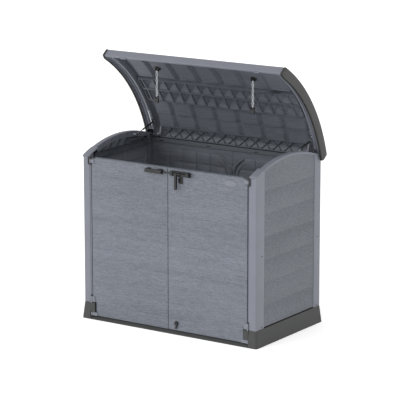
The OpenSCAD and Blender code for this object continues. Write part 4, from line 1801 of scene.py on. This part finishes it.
@dataclass
class Fittings:
    """Steel and nylon hardware: hinges, latch, catch, struts, chains and screws."""

    edge: float = 0.0008

    def build(self) -> None:
        """Dresses the hardware's CAD nodes."""
        dress(
            BLACK_NYLON,
            "post_hinge_brackets",
            "chain_anchors",
            "chain_clip_left",
            "chain_clip_right",
            "catch_plate",
            "catch_turn",
            edge=self.edge,
        )
        dress(
            STEEL_BLACK,
            "lid_hinge_brackets",
            "bolt_keeper",
            "bolt_guide",
            "bolt_hood",
            "padlock_hasp",
            "bolt_lever",
            "strut_tube_left",
            "strut_tube_right",
            edge=self.edge,
        )
        dress(STEEL_BLACK, "bolt_stub", "bolt_bar", "post_screws")
        dress(
            STEEL_ZINC,
            "door_hinge_pins",
            "lid_hinge_pins",
            "strut_anchors",
            "strut_brackets",
            "strut_rod_left",
            "strut_rod_right",
            "chain_left",
            "chain_right",
        )
        dress(PALE_RESIN, "door_badge", edge=0.0006)


# ---------------------------------------------------------------- studio


@dataclass
class Studio:
    """Opal acrylic table, soft light from the front left, and the camera."""

    place: Point = (8.25099, -12.220957, 4.082653)
    yaw: float = math.radians(34.073)
    pitch: float = math.radians(12.358)
    roll: float = math.radians(-0.037)
    lens: float = 197.079
    floor_half: float = 80.0
    sky: float = 0.80
    key: float = 1.15
    fill: float = 0.50
    fill_from: Point = (0.50, -0.70, 0.60)
    key_from: Point = (-0.55, -0.80, 0.34)
    spread: float = math.radians(55)

    def build(self) -> None:
        """Builds the floor, lights, sky and camera."""
        self.floor()
        self.lights()
        self.camera()
        bpy.context.scene.view_settings.view_transform = "Standard"

    def floor(self) -> None:
        """Lays the table's top a hair under the base."""
        slab = Mould()
        h = self.floor_half
        slab.brick((-h, -h, -0.02), (h, h, -0.0005))
        mesh = slab.mesh("table_floor")
        floor = bpy.data.objects.new("table_floor", mesh)
        bpy.context.scene.collection.objects.link(floor)
        mesh.materials.append(OpalAcrylic().material())

    def lights(self) -> None:
        """Hangs two broad softboxes and an even sky."""
        for name, power, source in (
            ("key_softbox", self.key, self.key_from),
            ("fill_softbox", self.fill, self.fill_from),
        ):
            lamp = bpy.data.lights.new(name, "SUN")
            lamp.energy = power
            lamp.angle = self.spread
            box = bpy.data.objects.new(name, lamp)
            box.rotation_euler = Vector(source).to_track_quat("Z", "Y").to_euler()
            bpy.context.scene.collection.objects.link(box)
        world = bpy.data.worlds.new("studio_sky")
        bpy.context.scene.world = world
        world.use_nodes = True
        tree = world.node_tree
        tree.nodes.clear()
        sky = add_node(
            tree,
            "ShaderNodeBackground",
            sockets={"Color": linear("#ffffff"), "Strength": self.sky},
        )
        add_node(tree, "ShaderNodeOutputWorld", links={"Surface": sky.outputs[0]})

    def camera(self) -> None:
        """Sets the camera up by its place, yaw, pitch and roll."""
        a, t, r = self.yaw, self.pitch, self.roll
        level = math.cos(t)
        ahead = Vector((-math.sin(a) * level, math.cos(a) * level, -math.sin(t)))
        right = Vector((math.cos(a), math.sin(a), 0.0))
        up = right.cross(ahead)
        right, up = (
            math.cos(r) * right + math.sin(r) * up,
            -math.sin(r) * right + math.cos(r) * up,
        )
        lens = bpy.data.cameras.new("camera")
        lens.lens = self.lens
        lens.sensor_width = 36.0
        lens.clip_end = 200.0
        camera = bpy.data.objects.new("camera", lens)
        turn = Matrix((right, up, -ahead)).transposed()
        camera.matrix_world = Matrix.Translation(self.place) @ turn.to_4x4()
        bpy.context.scene.collection.objects.link(camera)
        bpy.context.scene.camera = camera


def main() -> None:
    """Builds every sub-assembly in order."""
    logging.basicConfig(level=logging.INFO, format="%(message)s")
    Studio().build()
    Base().build()
    for side in Side:
        Wall(side).build()
    Back().build()
    for side in Side:
        Door(side).build()
    Lid().build()
    Fittings().build()


if __name__ == "__main__":
    main()
